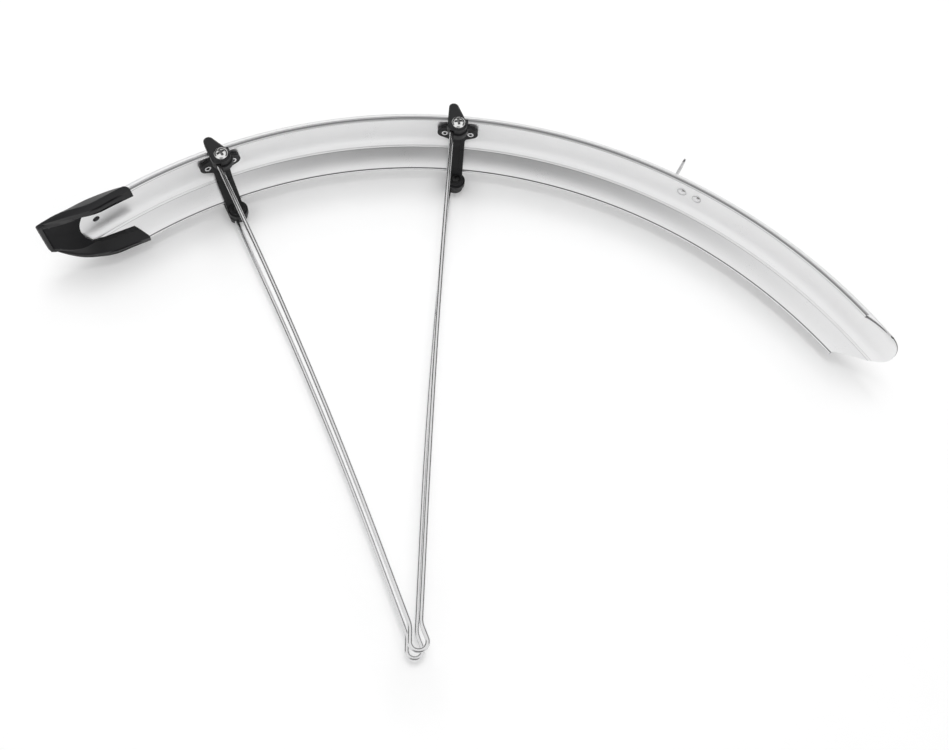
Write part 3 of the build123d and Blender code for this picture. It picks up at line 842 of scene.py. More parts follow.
    def rear_end(self, y: np.ndarray, height: np.ndarray) -> np.ndarray:
        """Angle at which the rear tongue ends: square at the rolls, then tapered to a straight tip.

        Args:
            y: distances from the middle plane.
            height: heights above the rims.

        Returns:
            Angles in degrees.
        """
        root, tip = self.width / 2 - 2 * self.hem_radius, self.rear_width / 2
        way = np.clip((root - np.abs(y)) / (root - tip), 0, 1)
        return self.rear_corner + np.degrees(np.arcsin(way * self.rear_length / (ARCH.rim_radius + height)))

    def build(self) -> bpy.types.Object:
        """Carry the section along the arch between the two ends.

        The angle of a grid point goes evenly from the rear end to the front end of its own section
        point.  The two ends are closed by strips between the inside and the outside.

        Returns:
            The piece.
        """
        inside, outside = self.section()
        loop = np.vstack([inside, outside[::-1]])
        y, height = loop[:, 0], loop[:, 1]
        share = np.linspace(0, 1, self.along)[:, None]
        angle = self.rear_end(y, height) * (1 - share) + self.front_end(y, height) * share
        points = ARCH.place(angle, y[None, :], height[None, :])
        across = run_along(loop)
        length = np.radians(angle) * ARCH.rim_radius
        skin = np.stack([length, np.broadcast_to(across, angle.shape)], axis=-1).reshape(-1, 2) * MM
        half = len(inside)
        obj = sleeve("silver_blade", points[:, :half], points[:, :half - 1:-1], skin)
        carve(obj, [hole_plug(f"hole_{k}", *hole, self.depth) for k, hole in enumerate(self.holes)])
        return obj

    def dress(self, obj: bpy.types.Object, finishes: Finishes) -> None:
        """Dress the blade, with dull cut edges where its faces look along the arch.

        Args:
            obj: the blade.
            finishes: materials of the part.
        """
        settle(obj, Slot.SHEET, finishes, "blade")
        off = face_vectors(obj, "center") - np.array(ARCH.axle) * MM
        along = np.stack([-off[:, 2], off[:, 1] * 0, off[:, 0]], axis=1)
        along /= np.linalg.norm(along, axis=1, keepdims=True)
        facing = np.abs((face_vectors(obj, "normal") * along).sum(axis=1))
        refinish(obj, facing > self.cut_cosine, finishes.cut_edge_and_recess_shade)


def lathe(
    name: str, profile: np.ndarray, base: np.ndarray, axis: np.ndarray, side: np.ndarray, steps: int = 48
) -> bpy.types.Object:
    """Surface of a closed profile turned about an axis.

    A point is the base plus its height along the axis plus its radius along the turning direction.

    Args:
        name: name of the piece.
        profile: points as (radius, height), a closed ring or a chain from axis to axis.
        base: point on the axis, in metres.
        axis: unit vector of the axis.
        side: unit vector square to the axis.
        steps: points round the axis.

    Returns:
        The piece.
    """
    other = np.cross(axis, side)
    turn = np.linspace(0, 2 * math.pi, steps, endpoint=False)
    round_ = np.cos(turn)[:, None] * side + np.sin(turn)[:, None] * other
    radius, height = profile[:, 0] * MM, profile[:, 1] * MM
    points = base + radius[None, :, None] * round_[:, None, :] + height[None, :, None] * axis
    ring = not np.isclose(profile[0, 0], 0.0)
    quads = grid_quads(steps, len(profile), True, ring)
    return surface(name, points.reshape(-1, 3), quads)


def rounded_ring(
    corners: Union[np.ndarray, Sequence[Pair]], radii: Sequence[float], steps: int = 5
) -> np.ndarray:
    """Closed outline with its corners rounded.

    Each corner gives way to a quadratic curve that leaves and meets its sides at the corner's radius, or
    short of the middle of a short side.

    Args:
        corners: corner points in order, of one outline or of a whole row of outlines.
        radii: how far each rounding reaches along its sides.
        steps: points of each rounding.

    Returns:
        Points of the outline.
    """
    points = np.asarray(corners, dtype=float)
    before, after = np.roll(points, 1, axis=-2) - points, np.roll(points, -1, axis=-2) - points
    back, ahead = (np.linalg.norm(side, axis=-1, keepdims=True) for side in (before, after))
    reach = np.minimum(np.asarray(radii, dtype=float)[:, None], SIDE_SHARE * np.minimum(back, ahead))
    start = points + before / back * reach
    stop = points + after / ahead * reach
    t = np.linspace(0, 1, steps)[:, None]
    start, middle, stop = (p[..., None, :] for p in (start, points, stop))
    curve = start * (1 - t) ** 2 + 2 * middle * t * (1 - t) + stop * t ** 2
    return curve.reshape(*points.shape[:-2], -1, 2)


def hole_plug(name: str, angle: float, radius: float, front: bool, depth: float) -> bpy.types.Object:
    """Round bar that cuts a hole through the crown.

    Args:
        name: name of the bar.
        angle: angle of its axis in degrees.
        radius: its radius.
        front: whether the angle is about the front arc's centre.
        depth: height of the crown above the rims.

    Returns:
        The bar.
    """
    _, left, out = ARCH.radial(angle)
    low, high = HOLE_REACH
    profile = np.array([(0.0, low), (radius, low), (radius, high), (0.0, high)])
    return lathe(name, profile, crown_point(angle, front, depth), out, left, HOLE_STEPS)


def crown_point(angle: float, front: bool, height: float) -> np.ndarray:
    """Point of the middle plane at a height above the rims.

    Args:
        angle: angle in degrees about the axle, or about the front arc's centre.
        front: whether the angle is about the front arc's centre.
        height: height outwards from the rims.

    Returns:
        The point in metres.
    """
    out = ARCH.radial(angle)[2]
    shift = ARCH.front_radius - ARCH.rim_radius if front else 0.0
    centre = np.array(ARCH.axle) - shift * ARCH.radial(ARCH.bend_angle)[2]
    return (centre + (ARCH.rim_radius + shift + height) * out) * MM


@dataclass
class Eyelet:
    """Tubular rivet of a bridge with its two rolled flanges."""

    bore: float = 2.2
    shank: float = 3.2
    flange: float = 4.8
    lip: float = 0.6
    low: float = 12.3
    high: float = 16.65
    rounds: Tuple[float, ...] = (0.45, 0.28, 0.2, 0.05)
    bore_shade_edge: float = 0.12

    def build(self, name: str, angle: float) -> bpy.types.Object:
        """Turn the rivet's section about its axis.

        Args:
            name: name of the piece.
            angle: angle of its axis in degrees.

        Returns:
            The piece.
        """
        bore, shank, flange = self.bore / 2, self.shank / 2, self.flange / 2
        bottom, top = self.low - self.lip, self.high + self.lip
        corners = [
            (bore, bottom), (flange, bottom), (flange, self.low), (shank, self.low),
            (shank, self.high), (flange, self.high), (flange, top), (bore, top),
        ]
        _, left, out = ARCH.radial(angle)
        ring = rounded_ring(corners, self.rounds + self.rounds[::-1])
        return lathe(name, ring, crown_point(angle, False, 0.0), out, left)

    def paint_bore_shade(self, obj: bpy.types.Object, angle: float, finishes: Finishes) -> None:
        """Paint shade into the bore: faces that lie closer to the axis than the bore's edge get a near-black
        finish.

        Args:
            obj: dressed rivet.
            angle: angle of its axis in degrees.
            finishes: materials of the part.
        """
        _, _, out = ARCH.radial(angle)
        off = face_vectors(obj, "center") - crown_point(angle, False, 0.0)
        off = off - (off @ out)[:, None] * out
        edge = self.bore / 2 + self.bore_shade_edge
        refinish(obj, np.linalg.norm(off, axis=1) < edge * MM, finishes.bore)


@dataclass
class TabRivet:
    """Solid rivet of the crown tab: domed head under the crown, flat closed head on the strip."""

    shank: float = 4.0
    head: float = 7.2
    dome: float = 1.4
    closed: float = 6.4
    closed_height: float = 0.9
    seat: float = 15.55
    strip_top: float = 18.3
    head_edge: float = 0.05
    closed_edges: Pair = (0.1, 0.3)
    dome_steps: int = 14

    def build(self, name: str, angle: float) -> bpy.types.Object:
        """Turn the rivet's section about its axis; the dome is part of a sphere.

        Args:
            name: name of the piece.
            angle: angle of its axis about the front arc's centre, in degrees.

        Returns:
            The piece.
        """
        head, shank, closed = self.head / 2, self.shank / 2, self.closed / 2
        ball = (head ** 2 + self.dome ** 2) / (2 * self.dome)
        turn = np.linspace(0, math.asin(head / ball), self.dome_steps)
        dome = np.stack([ball * np.sin(turn), self.seat - self.dome + ball * (1 - np.cos(turn))], axis=1)
        foot, top = self.strip_top, self.strip_top + self.closed_height
        low, high = self.closed_edges
        rest = [
            (head - self.head_edge, self.seat), (shank, self.seat), (shank, foot), (closed - low, foot),
            (closed, foot + low), (closed, top - high), (closed - 0.3 * high, top - 0.3 * high),
            (closed - high, top), (0.0, top),
        ]
        _, left, out = ARCH.radial(angle)
        return lathe(name, np.vstack([dome, rest]), crown_point(angle, True, 0.0), out, left)


@dataclass
class Screw:
    """Pan head clamp screw with a cross recess, drawn from its end to the middle of its head."""

    diameter: float = 5.0
    head: float = 9.4
    head_height: float = 3.0
    head_side: float = 1.2
    cross_length: float = 5.4
    cross_width: float = 1.25
    cross_depth: float = 1.7
    seat: float = 40.4
    end: float = 29.05
    dark_end: float = 5.0
    end_edge: float = 0.4
    head_edge: float = 0.25
    dome_swell: float = 0.62
    dome_steps: int = 64
    cross_edge: float = 0.22
    cross_fall: Pair = (0.4, 1.15)
    lean: float = 12.0
    steps: int = 192

    def profile(self) -> np.ndarray:
        """Half section from the axis at the end of the shank to the axis at the crown of the head.

        The dome is a quarter of a rounded oblong: the cosine and the sine of its turn, each to a power.

        Returns:
            Points as (radius, distance from the middle plane).
        """
        shank, head = self.diameter / 2, self.head / 2
        crown, shoulder = self.seat + self.head_height, self.seat + self.head_side
        rise = crown - shoulder
        cut, edge, soft = self.end_edge, self.head_edge, 0.28 * self.head_edge
        stem = [(0, self.end), (shank - cut, self.end), (shank, self.end + cut), (shank, self.seat)]
        foot = [(head - edge, self.seat), (head - soft, self.seat + soft), (head, self.seat + edge)]
        turn, swell = np.linspace(0, math.pi / 2, self.dome_steps), self.dome_swell
        dome = np.stack([head * np.cos(turn) ** swell, shoulder + rise * np.sin(turn) ** (2 - swell)], axis=1)
        return np.vstack([stem, foot, dome])

    def build(
        self, name: str, angle: float, side: Side, shift: float, radius: float
    ) -> Tuple[bpy.types.Object, np.ndarray, np.ndarray]:
        """Turn the section about the screw's axis and sink the cross into its head.

        Round the axis the head's height falls by the depth of the cross where the point lies in either
        of its two bars; the fall is a smooth step over a fraction of a millimetre, deepest at the axis.

        Args:
            name: name of the piece.
            angle: angle of the bridge in degrees.
            side: side of the wheel.
            shift: how far the screw lies ahead of the bridge's middle on the left.
            radius: distance of the screw from the axle.

        Returns:
            The piece, whether each of its faces lies in the cross, where shade is painted, and whether it
            lies at the dark end.
        """
        profile = self.profile()
        turn = np.linspace(0, 2 * math.pi, self.steps, endpoint=False)[:, None]
        r, away = profile[None, :, 0], profile[None, :, 1]
        u, w = r * np.cos(turn), r * np.sin(turn)
        on_head = away > self.seat + self.head_side
        rim, middle = self.cross_fall
        depth = self.cross_depth * np.clip(middle - r / self.cross_length, rim, 1.0)
        sunk = np.where(on_head, depth * np.maximum(self._bar(u, w), self._bar(w, u)), 0.0)
        away = away - sunk
        forward, left, out = ARCH.radial(angle)
        centre = np.array(ARCH.axle) + side.value * shift * forward + radius * out
        tilt = math.radians(self.lean)
        first = math.cos(tilt) * forward + math.sin(tilt) * out
        second = math.cos(tilt) * out - math.sin(tilt) * forward
        points = u[..., None] * first + w[..., None] * second + side.value * away[..., None] * left
        points = (centre + points) * MM
        quads = grid_quads(self.steps, len(profile), True, False)
        cross_shade_faces = sunk.ravel()[quads].mean(axis=1) > 0.3 * self.cross_depth
        at_end = away.ravel()[quads].mean(axis=1) < self.end + self.dark_end
        return surface(name, points.reshape(-1, 3), quads), cross_shade_faces, at_end

    def _bar(self, along: np.ndarray, across: np.ndarray) -> np.ndarray:
        """One bar of the cross: 1 inside, 0 outside, with smooth steps between.

        Args:
            along: distances along the bar.
            across: distances across it.

        Returns:
            Values from 0 to 1.
        """
        edge = self.cross_edge
        wide = np.clip((self.cross_width / 2 + edge - np.abs(across)) / edge, 0, 1)
        long = np.clip((self.cross_length / 2 + edge - np.abs(along)) / edge, 0, 1)
        return wide * wide * (3 - 2 * wide) * long * long * (3 - 2 * long)


@dataclass
class Clamps:
    """Both bridges with their rivets, and the caps, screws and nuts that hold the stays on them."""

    bridges: Dict[str, float] = field(default_factory=lambda: {"rear": 115.85, "front": 87.74})
    screw_shift: float = 1.1
    screw_drop: float = 8.1
    wing_pitch: float = 19.2
    eyelet_hole: float = 1.7
    bridge_round: float = 0.45
    cap_round: float = 0.4

    def eyelet_angles(self, bridge: float) -> List[float]:
        """Angles of a bridge's two eyelets, the rear one first."""
        step = math.degrees(self.wing_pitch / 2 / (ARCH.rim_radius + Blade.depth))
        return [bridge + step, bridge - step]

    def holes(self) -> List[Hole]:
        """Holes of the blade for the eyelets."""
        places = [place for bridge in self.bridges.values() for place in self.eyelet_angles(bridge)]
        return [(place, self.eyelet_hole, False) for place in places]

    def build(self, finishes: Finishes) -> None:
        """Make and dress the rivets, screws, caps, bridges and nuts.

        Args:
            finishes: materials of the part.
        """
        radius = ARCH.rim_radius - self.screw_drop
        for word, angle in self.bridges.items():
            for end, place in zip(("rear", "front"), self.eyelet_angles(angle)):
                node = f"{word}_bridge_eyelet_{end}"
                rivet = settle(Eyelet().build(f"{node}_bright", place), Slot.RIVET, finishes, node)
                # painted shade inside the bore
                Eyelet().paint_bore_shade(rivet, place, finishes)
            bridge = f"{word}_bridge"
            moulding = rounded_copy(bridge, f"{bridge}_moulding", self.bridge_round)
            settle(moulding, Slot.PLASTIC, finishes, bridge)
            for side in Side:
                stem = f"{word}_{side.word}_clamp"
                name = f"{stem}_screw_bright"
                screw, cross_shade_faces, at_end = Screw().build(name, angle, side, self.screw_shift, radius)
                settle(screw, Slot.CLAMP, finishes, f"{stem}_screw")
                # Painted shade: the cross recess takes the darker grey of the cut edges
                refinish(screw, cross_shade_faces, finishes.cut_edge_and_recess_shade)
                # The screw's end near the nut is made near-black
                refinish(screw, at_end, finishes.darkened)
                cap = rounded_copy(f"{stem}_cap", f"{stem}_cap_moulding", self.cap_round)
                settle(cap, Slot.PLASTIC, finishes, f"{stem}_cap")
                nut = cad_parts[f"{stem}_nut"]
                # The nuts take the same near-black steel
                nut.data.materials.clear()
                nut.data.materials.append(finishes.darkened)
                LOG.info("%s: %d faces, as packed", nut.name, len(nut.data.polygons))


@dataclass
class Stay:
    """Round wire stay of one side: two bowed legs and the open loop near the axle."""

    side: Side
    loop: Pair
    front_bow: float
    rear_bow: float = 4.1
    bow_run: float = 110.0
    wire: float = 3.0
    offset: float = 4.1
    plane: float = 36.875
    loop_radius: float = 4.95
    loop_flat: float = 0.3
    necks: Tuple[Pair, Pair] = ((-5.1, 9.0), (1.0, 10.7))
    neck_bend: float = 14.0
    end_run: float = 13.25
    end_steps: Tuple[Pair, ...] = ((0.0, 0.0), (0.8, 0.0), (1.0, 0.2))
    around: int = 28

    def screws(self, clamps: Clamps) -> List[np.ndarray]:
        """Screw axes in the wheel plane.

        Args:
            clamps: the clamps that hold the wire.

        Returns:
            Points as (x, z) about the axle, the rear one first.
        """
        radius = ARCH.rim_radius - clamps.screw_drop
        places = []
        for angle in (clamps.bridges["rear"], clamps.bridges["front"]):
            forward, _, out = ARCH.radial(angle)
            place = self.side.value * clamps.screw_shift * forward + radius * out
            places.append(place[[0, 2]])
        return places

    def leg(self, neck: np.ndarray, screw: np.ndarray, bow: float) -> Tuple[np.ndarray, np.ndarray]:
        """Corner of a leg's bow and the wire's end in the cap.

        The corner stands off the middle of the line from neck to screw, so far that the bend spread
        over the bow's run leaves the asked bow; the wire then touches a circle behind the screw.

        Args:
            neck: bend above the loop.
            screw: screw axis.
            bow: bow at the middle, forwards when positive.

        Returns:
            The corner and the end.
        """
        run = screw - neck
        length = np.hypot(*run)
        forward = (bow / (1 - self.bow_run / length) - self.offset / 2) / length
        corner = neck + run / 2 + forward * np.array([run[1], -run[0]])
        to_screw = screw - corner
        angle = math.atan2(to_screw[1], to_screw[0]) + math.asin(self.offset / np.hypot(*to_screw))
        ahead = np.array([math.cos(angle), math.sin(angle)])
        return corner, screw + self.offset * np.array([-ahead[1], ahead[0]]) + self.end_run * ahead

    def loop_corner(self, neck: np.ndarray, hand: int) -> np.ndarray:
        """Corner under the loop on the line from a neck that touches the loop's circle.

        Args:
            neck: bend above the loop.
            hand: rear 1, front -1.

        Returns:
            The corner.
        """
        centre = np.array([self.loop[0] - hand * self.loop_flat / 2, self.loop[1]])
        away = centre - neck
        heading = math.atan2(away[1], away[0]) - hand * math.asin(self.loop_radius / np.hypot(*away))
        reach = (centre[1] - self.loop_radius - neck[1]) / math.sin(heading)
        return np.array([neck[0] + reach * math.cos(heading), centre[1] - self.loop_radius])

    def line(self, clamps: Clamps) -> np.ndarray:
        """Middle line of the wire in the wheel plane, straight runs and tangent arcs.

        Args:
            clamps: the clamps that hold its ends.

        Returns:
            Points as (x, z) about the axle.
        """
        loop = np.array(self.loop)
        rear_neck, front_neck = (loop + np.array(n) for n in self.necks)
        rear_screw, front_screw = self.screws(clamps)
        rear_corner, rear_end = self.leg(rear_neck, rear_screw, self.rear_bow)
        front_corner, front_end = self.leg(front_neck, front_screw, -self.front_bow)
        below = [self.loop_corner(rear_neck, 1), self.loop_corner(front_neck, -1)]
        route = [rear_end, rear_corner, rear_neck, *below, front_neck, front_corner, front_end]
        bends = [None, self.neck_bend, self.loop_radius, self.loop_radius, self.neck_bend, None]
        pieces = [np.array([route[0]])]
        for before, corner, after, bend in zip(route, route[1:], route[2:], bends):
            pieces.append(arc_at(before, corner, after, bend, self.bow_run))
        pieces.append(np.array([route[-1]]))
        return np.vstack(pieces)

    def build(self, clamps: Clamps) -> bpy.types.Object:
        """Carry a circle along the wire's line, with rounded ends.

        At each end the circle closes in steps, given as shares of its radius across and along.

        Args:
            clamps: the clamps that hold its ends.

        Returns:
            The piece.
        """
        line = self.line(clamps)
        run = np.gradient(line, axis=0)
        run = run / np.hypot(run[:, 0], run[:, 1])[:, None]
        radius = self.wire / 2
        close = np.array(self.end_steps)
        line = np.vstack([np.repeat(line[:1], 3, axis=0) + run[0] * close[:, 1:] * radius, line[1:-1],
                          np.repeat(line[-1:], 3, axis=0) - run[-1] * close[::-1, 1:] * radius])
        run = np.vstack([np.repeat(run[:1], 3, axis=0), run[1:-1], np.repeat(run[-1:], 3, axis=0)])
        size = np.ones(len(line))
        size[:3], size[-3:] = close[:, 0], close[::-1, 0]
        turn = np.linspace(0, 2 * math.pi, self.around, endpoint=False)
        normal = np.stack([-run[:, 1], run[:, 0]], axis=1)
        off = radius * size[:, None] * np.cos(turn)
        flat = line[:, None, :] + normal[:, None, :] * off[..., None]
        y = self.side.value * self.plane + radius * size[:, None] * np.sin(turn)
        points = np.stack([flat[..., 0] + ARCH.axle[0], y, flat[..., 1] + ARCH.axle[2]], axis=-1) * MM
        quads = grid_quads(len(line), self.around, False, True)
        along = run_along(line)
        skin = np.stack(np.broadcast_arrays(along[:, None], radius * turn[None, :]), axis=-1)
        name = f"{self.side.word}_stay_wire"
        return surface(name, points.reshape(-1, 3), quads, skin.reshape(-1, 2) * MM)

    def dress(self, obj: bpy.types.Object, finishes: Finishes) -> None:
        """Dress the wire and let it stand for its node."""
        settle(obj, Slot.WIRE, finishes, f"{self.side.word}_stay")


def arc_at(
    before: np.ndarray, corner: np.ndarray, after: np.ndarray, radius: Optional[float], run: float
) -> np.ndarray:
    """Arc that rounds a corner of a line.

    The arc touches both sides; its centre lies on the corner's bisector.

    Args:
        before: point before the corner.
        corner: the corner.
        after: point after the corner.
        radius: the arc's radius, or none to give it a run.
        run: how far from the corner the arc starts where it has no radius.

    Returns:
        Points of the arc.
    """
    first = (corner - before) / np.hypot(*(corner - before))
    second = (after - corner) / np.hypot(*(after - corner))
    cross = first[0] * second[1] - first[1] * second[0]
    turn = math.atan2(cross, float(first @ second))
    if radius is None:
        radius = run / math.tan(abs(turn) / 2)
    start = corner - first * radius * math.tan(abs(turn) / 2)
    hand = math.copysign(1.0, turn)
    normal = hand * np.array([-first[1], first[0]])
    steps = max(ARC_STEPS, int(abs(turn) / math.radians(ARC_STEP)) + 1)
    swept = np.linspace(0, abs(turn), steps)[:, None]
    return start + radius * (np.sin(swept) * first + (1 - np.cos(swept)) * normal)


@dataclass
class CrownTab:
    """Bent strip on the outside of the crown, with its two rivets."""

    angle: float = 60.65
    rivet_pitch: float = 12.0
    rivet_hole: float = 2.1
    edge_round: float = 0.2
    crown_radius: float = ARCH.front_radius + Blade.depth + Blade.sheet

    def rivet_angles(self) -> List[float]:
        """Angles of the two rivets about the front arc's centre, the rear one first."""
        step = math.degrees(self.rivet_pitch / 2 / self.crown_radius)
        return [self.angle + step, self.angle - step]

    def holes(self) -> List[Hole]:
        """Holes of the blade for the rivets."""
        return [(place, self.rivet_hole, True) for place in self.rivet_angles()]

    def build(self, finishes: Finishes) -> None:
        """Make and dress the strip and its rivets.

        Args:
            finishes: materials of the part.
        """
        strip = rounded_copy("crown_tab", "crown_tab_strip", self.edge_round)
        settle(strip, Slot.STRIP, finishes, "crown_tab")
        for end, angle in zip(("rear", "front"), self.rivet_angles()):
            node = f"crown_tab_rivet_{end}"
            settle(TabRivet().build(f"{node}_bright", angle), Slot.RIVET, finishes, node)


@dataclass
class EndShoe:
    """Moulded cover on the rear end: skin, rails under both rims, sunk inner panel, flap and stud.

    The tuples hold the sizes at four stations along the rims: how far the section reaches past the
    blade, height and width of the foot, top of the side wall, edge, height and fall of the crown, edge
    and depth of the panel.  The foot's line holds places across the foot and whether each lies in a
    groove, and the rounds are those of the section's corners, from the crown to the panel.
    """

    blade: Blade
    runs: Tuple[float, ...] = (-4.2, 23.0, 41.1, 55.6)
    side: Tuple[float, ...] = (1.4, -1.7, -5.2, -14.5)
    foot: Tuple[float, ...] = (-1.8, 2.0, 12.0, 24.2)
    foot_width: Tuple[float, ...] = (6.4, 6.0, 3.0, 1.5)
    foot_slope: Tuple[float, ...] = (1.5, 0.4, 0.0, 0.0)
    wall_inset: Tuple[float, ...] = (0.5, 0.6, 2.5, 0.8)
    wall_rise: Tuple[float, ...] = (5.3, 5.6, 7.6, 1.8)
    crown_half: Tuple[float, ...] = (20.6, 20.6, 20.0, 14.0)
    crown_rise: Tuple[float, ...] = (1.8, 6.4, 7.2, 10.9)
    crown_drop: Tuple[float, ...] = (3.0, 2.4, 1.5, 0.3)
    panel_half: Tuple[float, ...] = (17.5, 17.0, 17.5, 12.0)
    panel_sink: Tuple[float, ...] = (3.3, 4.2, 2.7, -8.9)
    foot_line: Tuple[Tuple[float, int], ...] = (
        (0.0, 0), (0.08, 1), (0.20, 1), (0.26, 0), (0.74, 0), (0.80, 1), (0.94, 1), (1.0, 0),
    )
    rounds: Tuple[float, ...] = (
        3.0, 4.0, 1.0, 0.6, 0.25, 0.2, 0.2, 0.3, 0.3, 0.2, 0.2, 0.25, 0.25, 2.0, 3.0,
    )
    groove: float = 1.5
    groove_start: float = 1.5
    groove_end: float = 26.0
    lip: float = 1.1
    lip_ramp: float = 0.8
    lip_width: float = 0.7
    tip_rim: float = 1.8
    blend: float = 6.0
    blend_steps: int = 25
    past_ends: float = 20.0
    end_round: float = 6.0
    end_low: float = 0.0
    tip_round: float = 3.0
    mouth_run: float = 34.4
    mouth_depth: float = 5.0
    mouth_half: float = 17.0
    lip_half: float = 22.5
    mouth_swell: float = 0.65
    mouth_spread: float = 1.4
    mouth_grid: Tuple[int, int] = (25, 61)
    cut_past: float = 14.0
    cut_low: float = -30.0
    stud_run: float = 21.2
    stud: float = 4.6
    stud_hole: float = 2.6
    stud_sink: float = 0.2
    stud_root: float = 1.0
    gate: Pair = (47.0, -4.0)
    gate_radius: float = 0.6
    gate_heights: Pair = (8.0, 16.0)
    sharp: float = 35.0
    panel_cosine: float = 0.5
    rows: int = 90

    def size(self, stations: Tuple[float, ...], run: np.ndarray) -> np.ndarray:
        """Straight lines through a size's stations, averaged over a short way so that they blend.

        Args:
            stations: the size at each station.
            run: runs behind the blade's rear corners.

        Returns:
            The size at each run.
        """
        past = self.past_ends
        first = stations[0] + (stations[0] - stations[1]) / (self.runs[1] - self.runs[0]) * past
        last = stations[-1] + (stations[-1] - stations[-2]) / (self.runs[-1] - self.runs[-2]) * past
        runs = (self.runs[0] - past, *self.runs, self.runs[-1] + past)
        near = run[:, None] + np.linspace(-self.blend, self.blend, self.blend_steps)
        return np.interp(near, runs, (first, *stations, last)).mean(axis=1)

    def place(self, run: np.ndarray, y: np.ndarray, height: np.ndarray) -> np.ndarray:
        """Points of the arch at runs behind the blade's rear corners."""
        return ARCH.place(self.blade.rear_corner + np.degrees(run / ARCH.rim_radius), y, height)

    def body(self) -> bpy.types.Object:
        """Carry the section from the rails' ends to the tip of the flap.

        The section's corners follow the blended stations, each rounded by a quadratic curve; grooves
        part the rail's foot from the walls, a lip stands round the panel, and the front and the tip are
        rounded by moving the outer points along.

        Returns:
            The closed body without its mouth.
        """
        share = np.linspace(0, 1, self.rows)
        run = self.runs[0] + (self.runs[-1] - self.runs[0]) * share
        flat = np.full_like(run, self.blade.flat / 2)
        edge = self.blade.width / 2 + self.size(self.side, run)
        crown = self.blade.depth + self.blade.sheet + self.size(self.crown_rise, run)
        panel = self.blade.depth - self.size(self.panel_sink, run)
        foot, width = self.size(self.foot, run), self.size(self.foot_width, run)
        slope, inset = self.size(self.foot_slope, run), self.size(self.wall_inset, run)
        rise, drop = self.size(self.wall_rise, run), self.size(self.crown_drop, run)
        ramp = np.minimum(run - self.groove_start, self.groove_end - run) / self.blend
        sunk = self.groove * np.clip(ramp, 0, 1)
        lip = self.lip * np.clip((self.runs[-1] - self.tip_rim - run) / self.lip_ramp, 0, 1)
        panel = panel + lip
        corners = [
            (flat, crown),
            (self.size(self.crown_half, run), crown - drop),
            (edge - inset, foot + slope + rise),
            (edge - 0.35 * inset, foot + slope + 0.5 * rise),
            *((edge - s * width, foot + (1 - s) * slope + deep * sunk) for s, deep in self.foot_line),
            (edge - width - self.lip_width, foot + lip),
            (self.size(self.panel_half, run), panel - drop / 2),
            (flat, panel),
        ]
        half = np.stack([np.stack(c, axis=-1) for c in corners], axis=1)
        ring = np.concatenate([half, half[:, ::-1] * (-1, 1)], axis=1)
        points = rounded_ring(ring, self.rounds + self.rounds[::-1], 6)
        quarter = points.shape[1] // 4
        outside = np.concatenate([points[:, 3 * quarter:], points[:, :quarter]], axis=1)
        inside = points[:, quarter:3 * quarter][:, ::-1]
        return sleeve("end_shoe_moulding", *(self._bent(sheet, run, share) for sheet in (inside, outside)))

    def _bent(self, sheet: np.ndarray, run: np.ndarray, share: np.ndarray) -> np.ndarray:
        """Sheet of section points on the arch, its ends rounded in plan.

        Args:
            sheet: rows of (y, height).
            run: run of each row.
            share: place of each row between the two ends.

        Returns:
            Rows of points in metres.
        """
        off = np.abs(sheet[..., 0])
        lip = np.clip((sheet[..., 1] - self.end_low) / self.end_round, 0, 1)
        tip = np.clip((off - off[-1:].max() + self.tip_round) / self.tip_round, 0, 1)
        front = self.end_round * (1 - np.sqrt(1 - lip ** 2)) * (1 - share[:, None]) ** 4
        back = self.tip_round * (1 - np.sqrt(np.maximum(1 - tip ** 2, 0))) * share[:, None] ** 8
        return self.place(run[:, None] + front - back, sheet[..., 0], sheet[..., 1])

    def mouth(self) -> bpy.types.Object:
        """Shape of the opening under the blade: hollow at the panel, straight between the rails.

        Its top lies inside the sheet of the blade; its sides spread evenly from the panel to the ends
        of the rails; at the panel it is a parabola across.

        Returns:
            The cutter.
        """
        rows, columns = self.mouth_grid
        across = np.linspace(-1, 1, columns)[None, :]
        share = np.linspace(0, 1, rows)[:, None]
        ends, corner = self.runs[0] - self.cut_past, self.mouth_run - self.mouth_depth
        run = (self.mouth_run - self.mouth_depth * across ** 2) * (1 - share) + ends * share
        spread = np.clip((corner - run) / corner, 0, self.mouth_spread)
        y = across * (self.mouth_half + (self.lip_half - self.mouth_half) * spread ** self.mouth_swell)
        sheet = self.blade.half_section()[:sum(self.blade.stations[:3])]
        roof = np.interp(np.abs(y), sheet[:, 0], sheet[:, 1]) + self.blade.sheet / 2
        floor = np.full_like(y, self.cut_low)
        return sleeve("mouth", self.place(run, y, floor), self.place(run, y, roof))

    def on_panel(self, obj: bpy.types.Object) -> np.ndarray:
        """Faces of the sunk inner panel: behind the mouth, inside the panel's edges, towards the wheel.

        Args:
            obj: the shoe.

        Returns:
            Whether each face belongs to the panel.
        """
        centre, normal = face_vectors(obj, "center") / MM, face_vectors(obj, "normal")
        off = centre - np.array(ARCH.axle)
        turn = np.arctan2(off[:, 2], off[:, 0])
        run = (turn - math.radians(self.blade.rear_corner)) * ARCH.rim_radius
        out = normal[:, 0] * np.cos(turn) + normal[:, 2] * np.sin(turn)
        on_shoe = np.clip(run, self.runs[0], self.runs[-1])
        inside = np.abs(off[:, 1]) < self.size(self.panel_half, on_shoe)
        behind = (run > self.mouth_run - self.mouth_depth) & (run < self.runs[-1] - self.tip_rim)
        return behind & inside & (out < -self.panel_cosine)

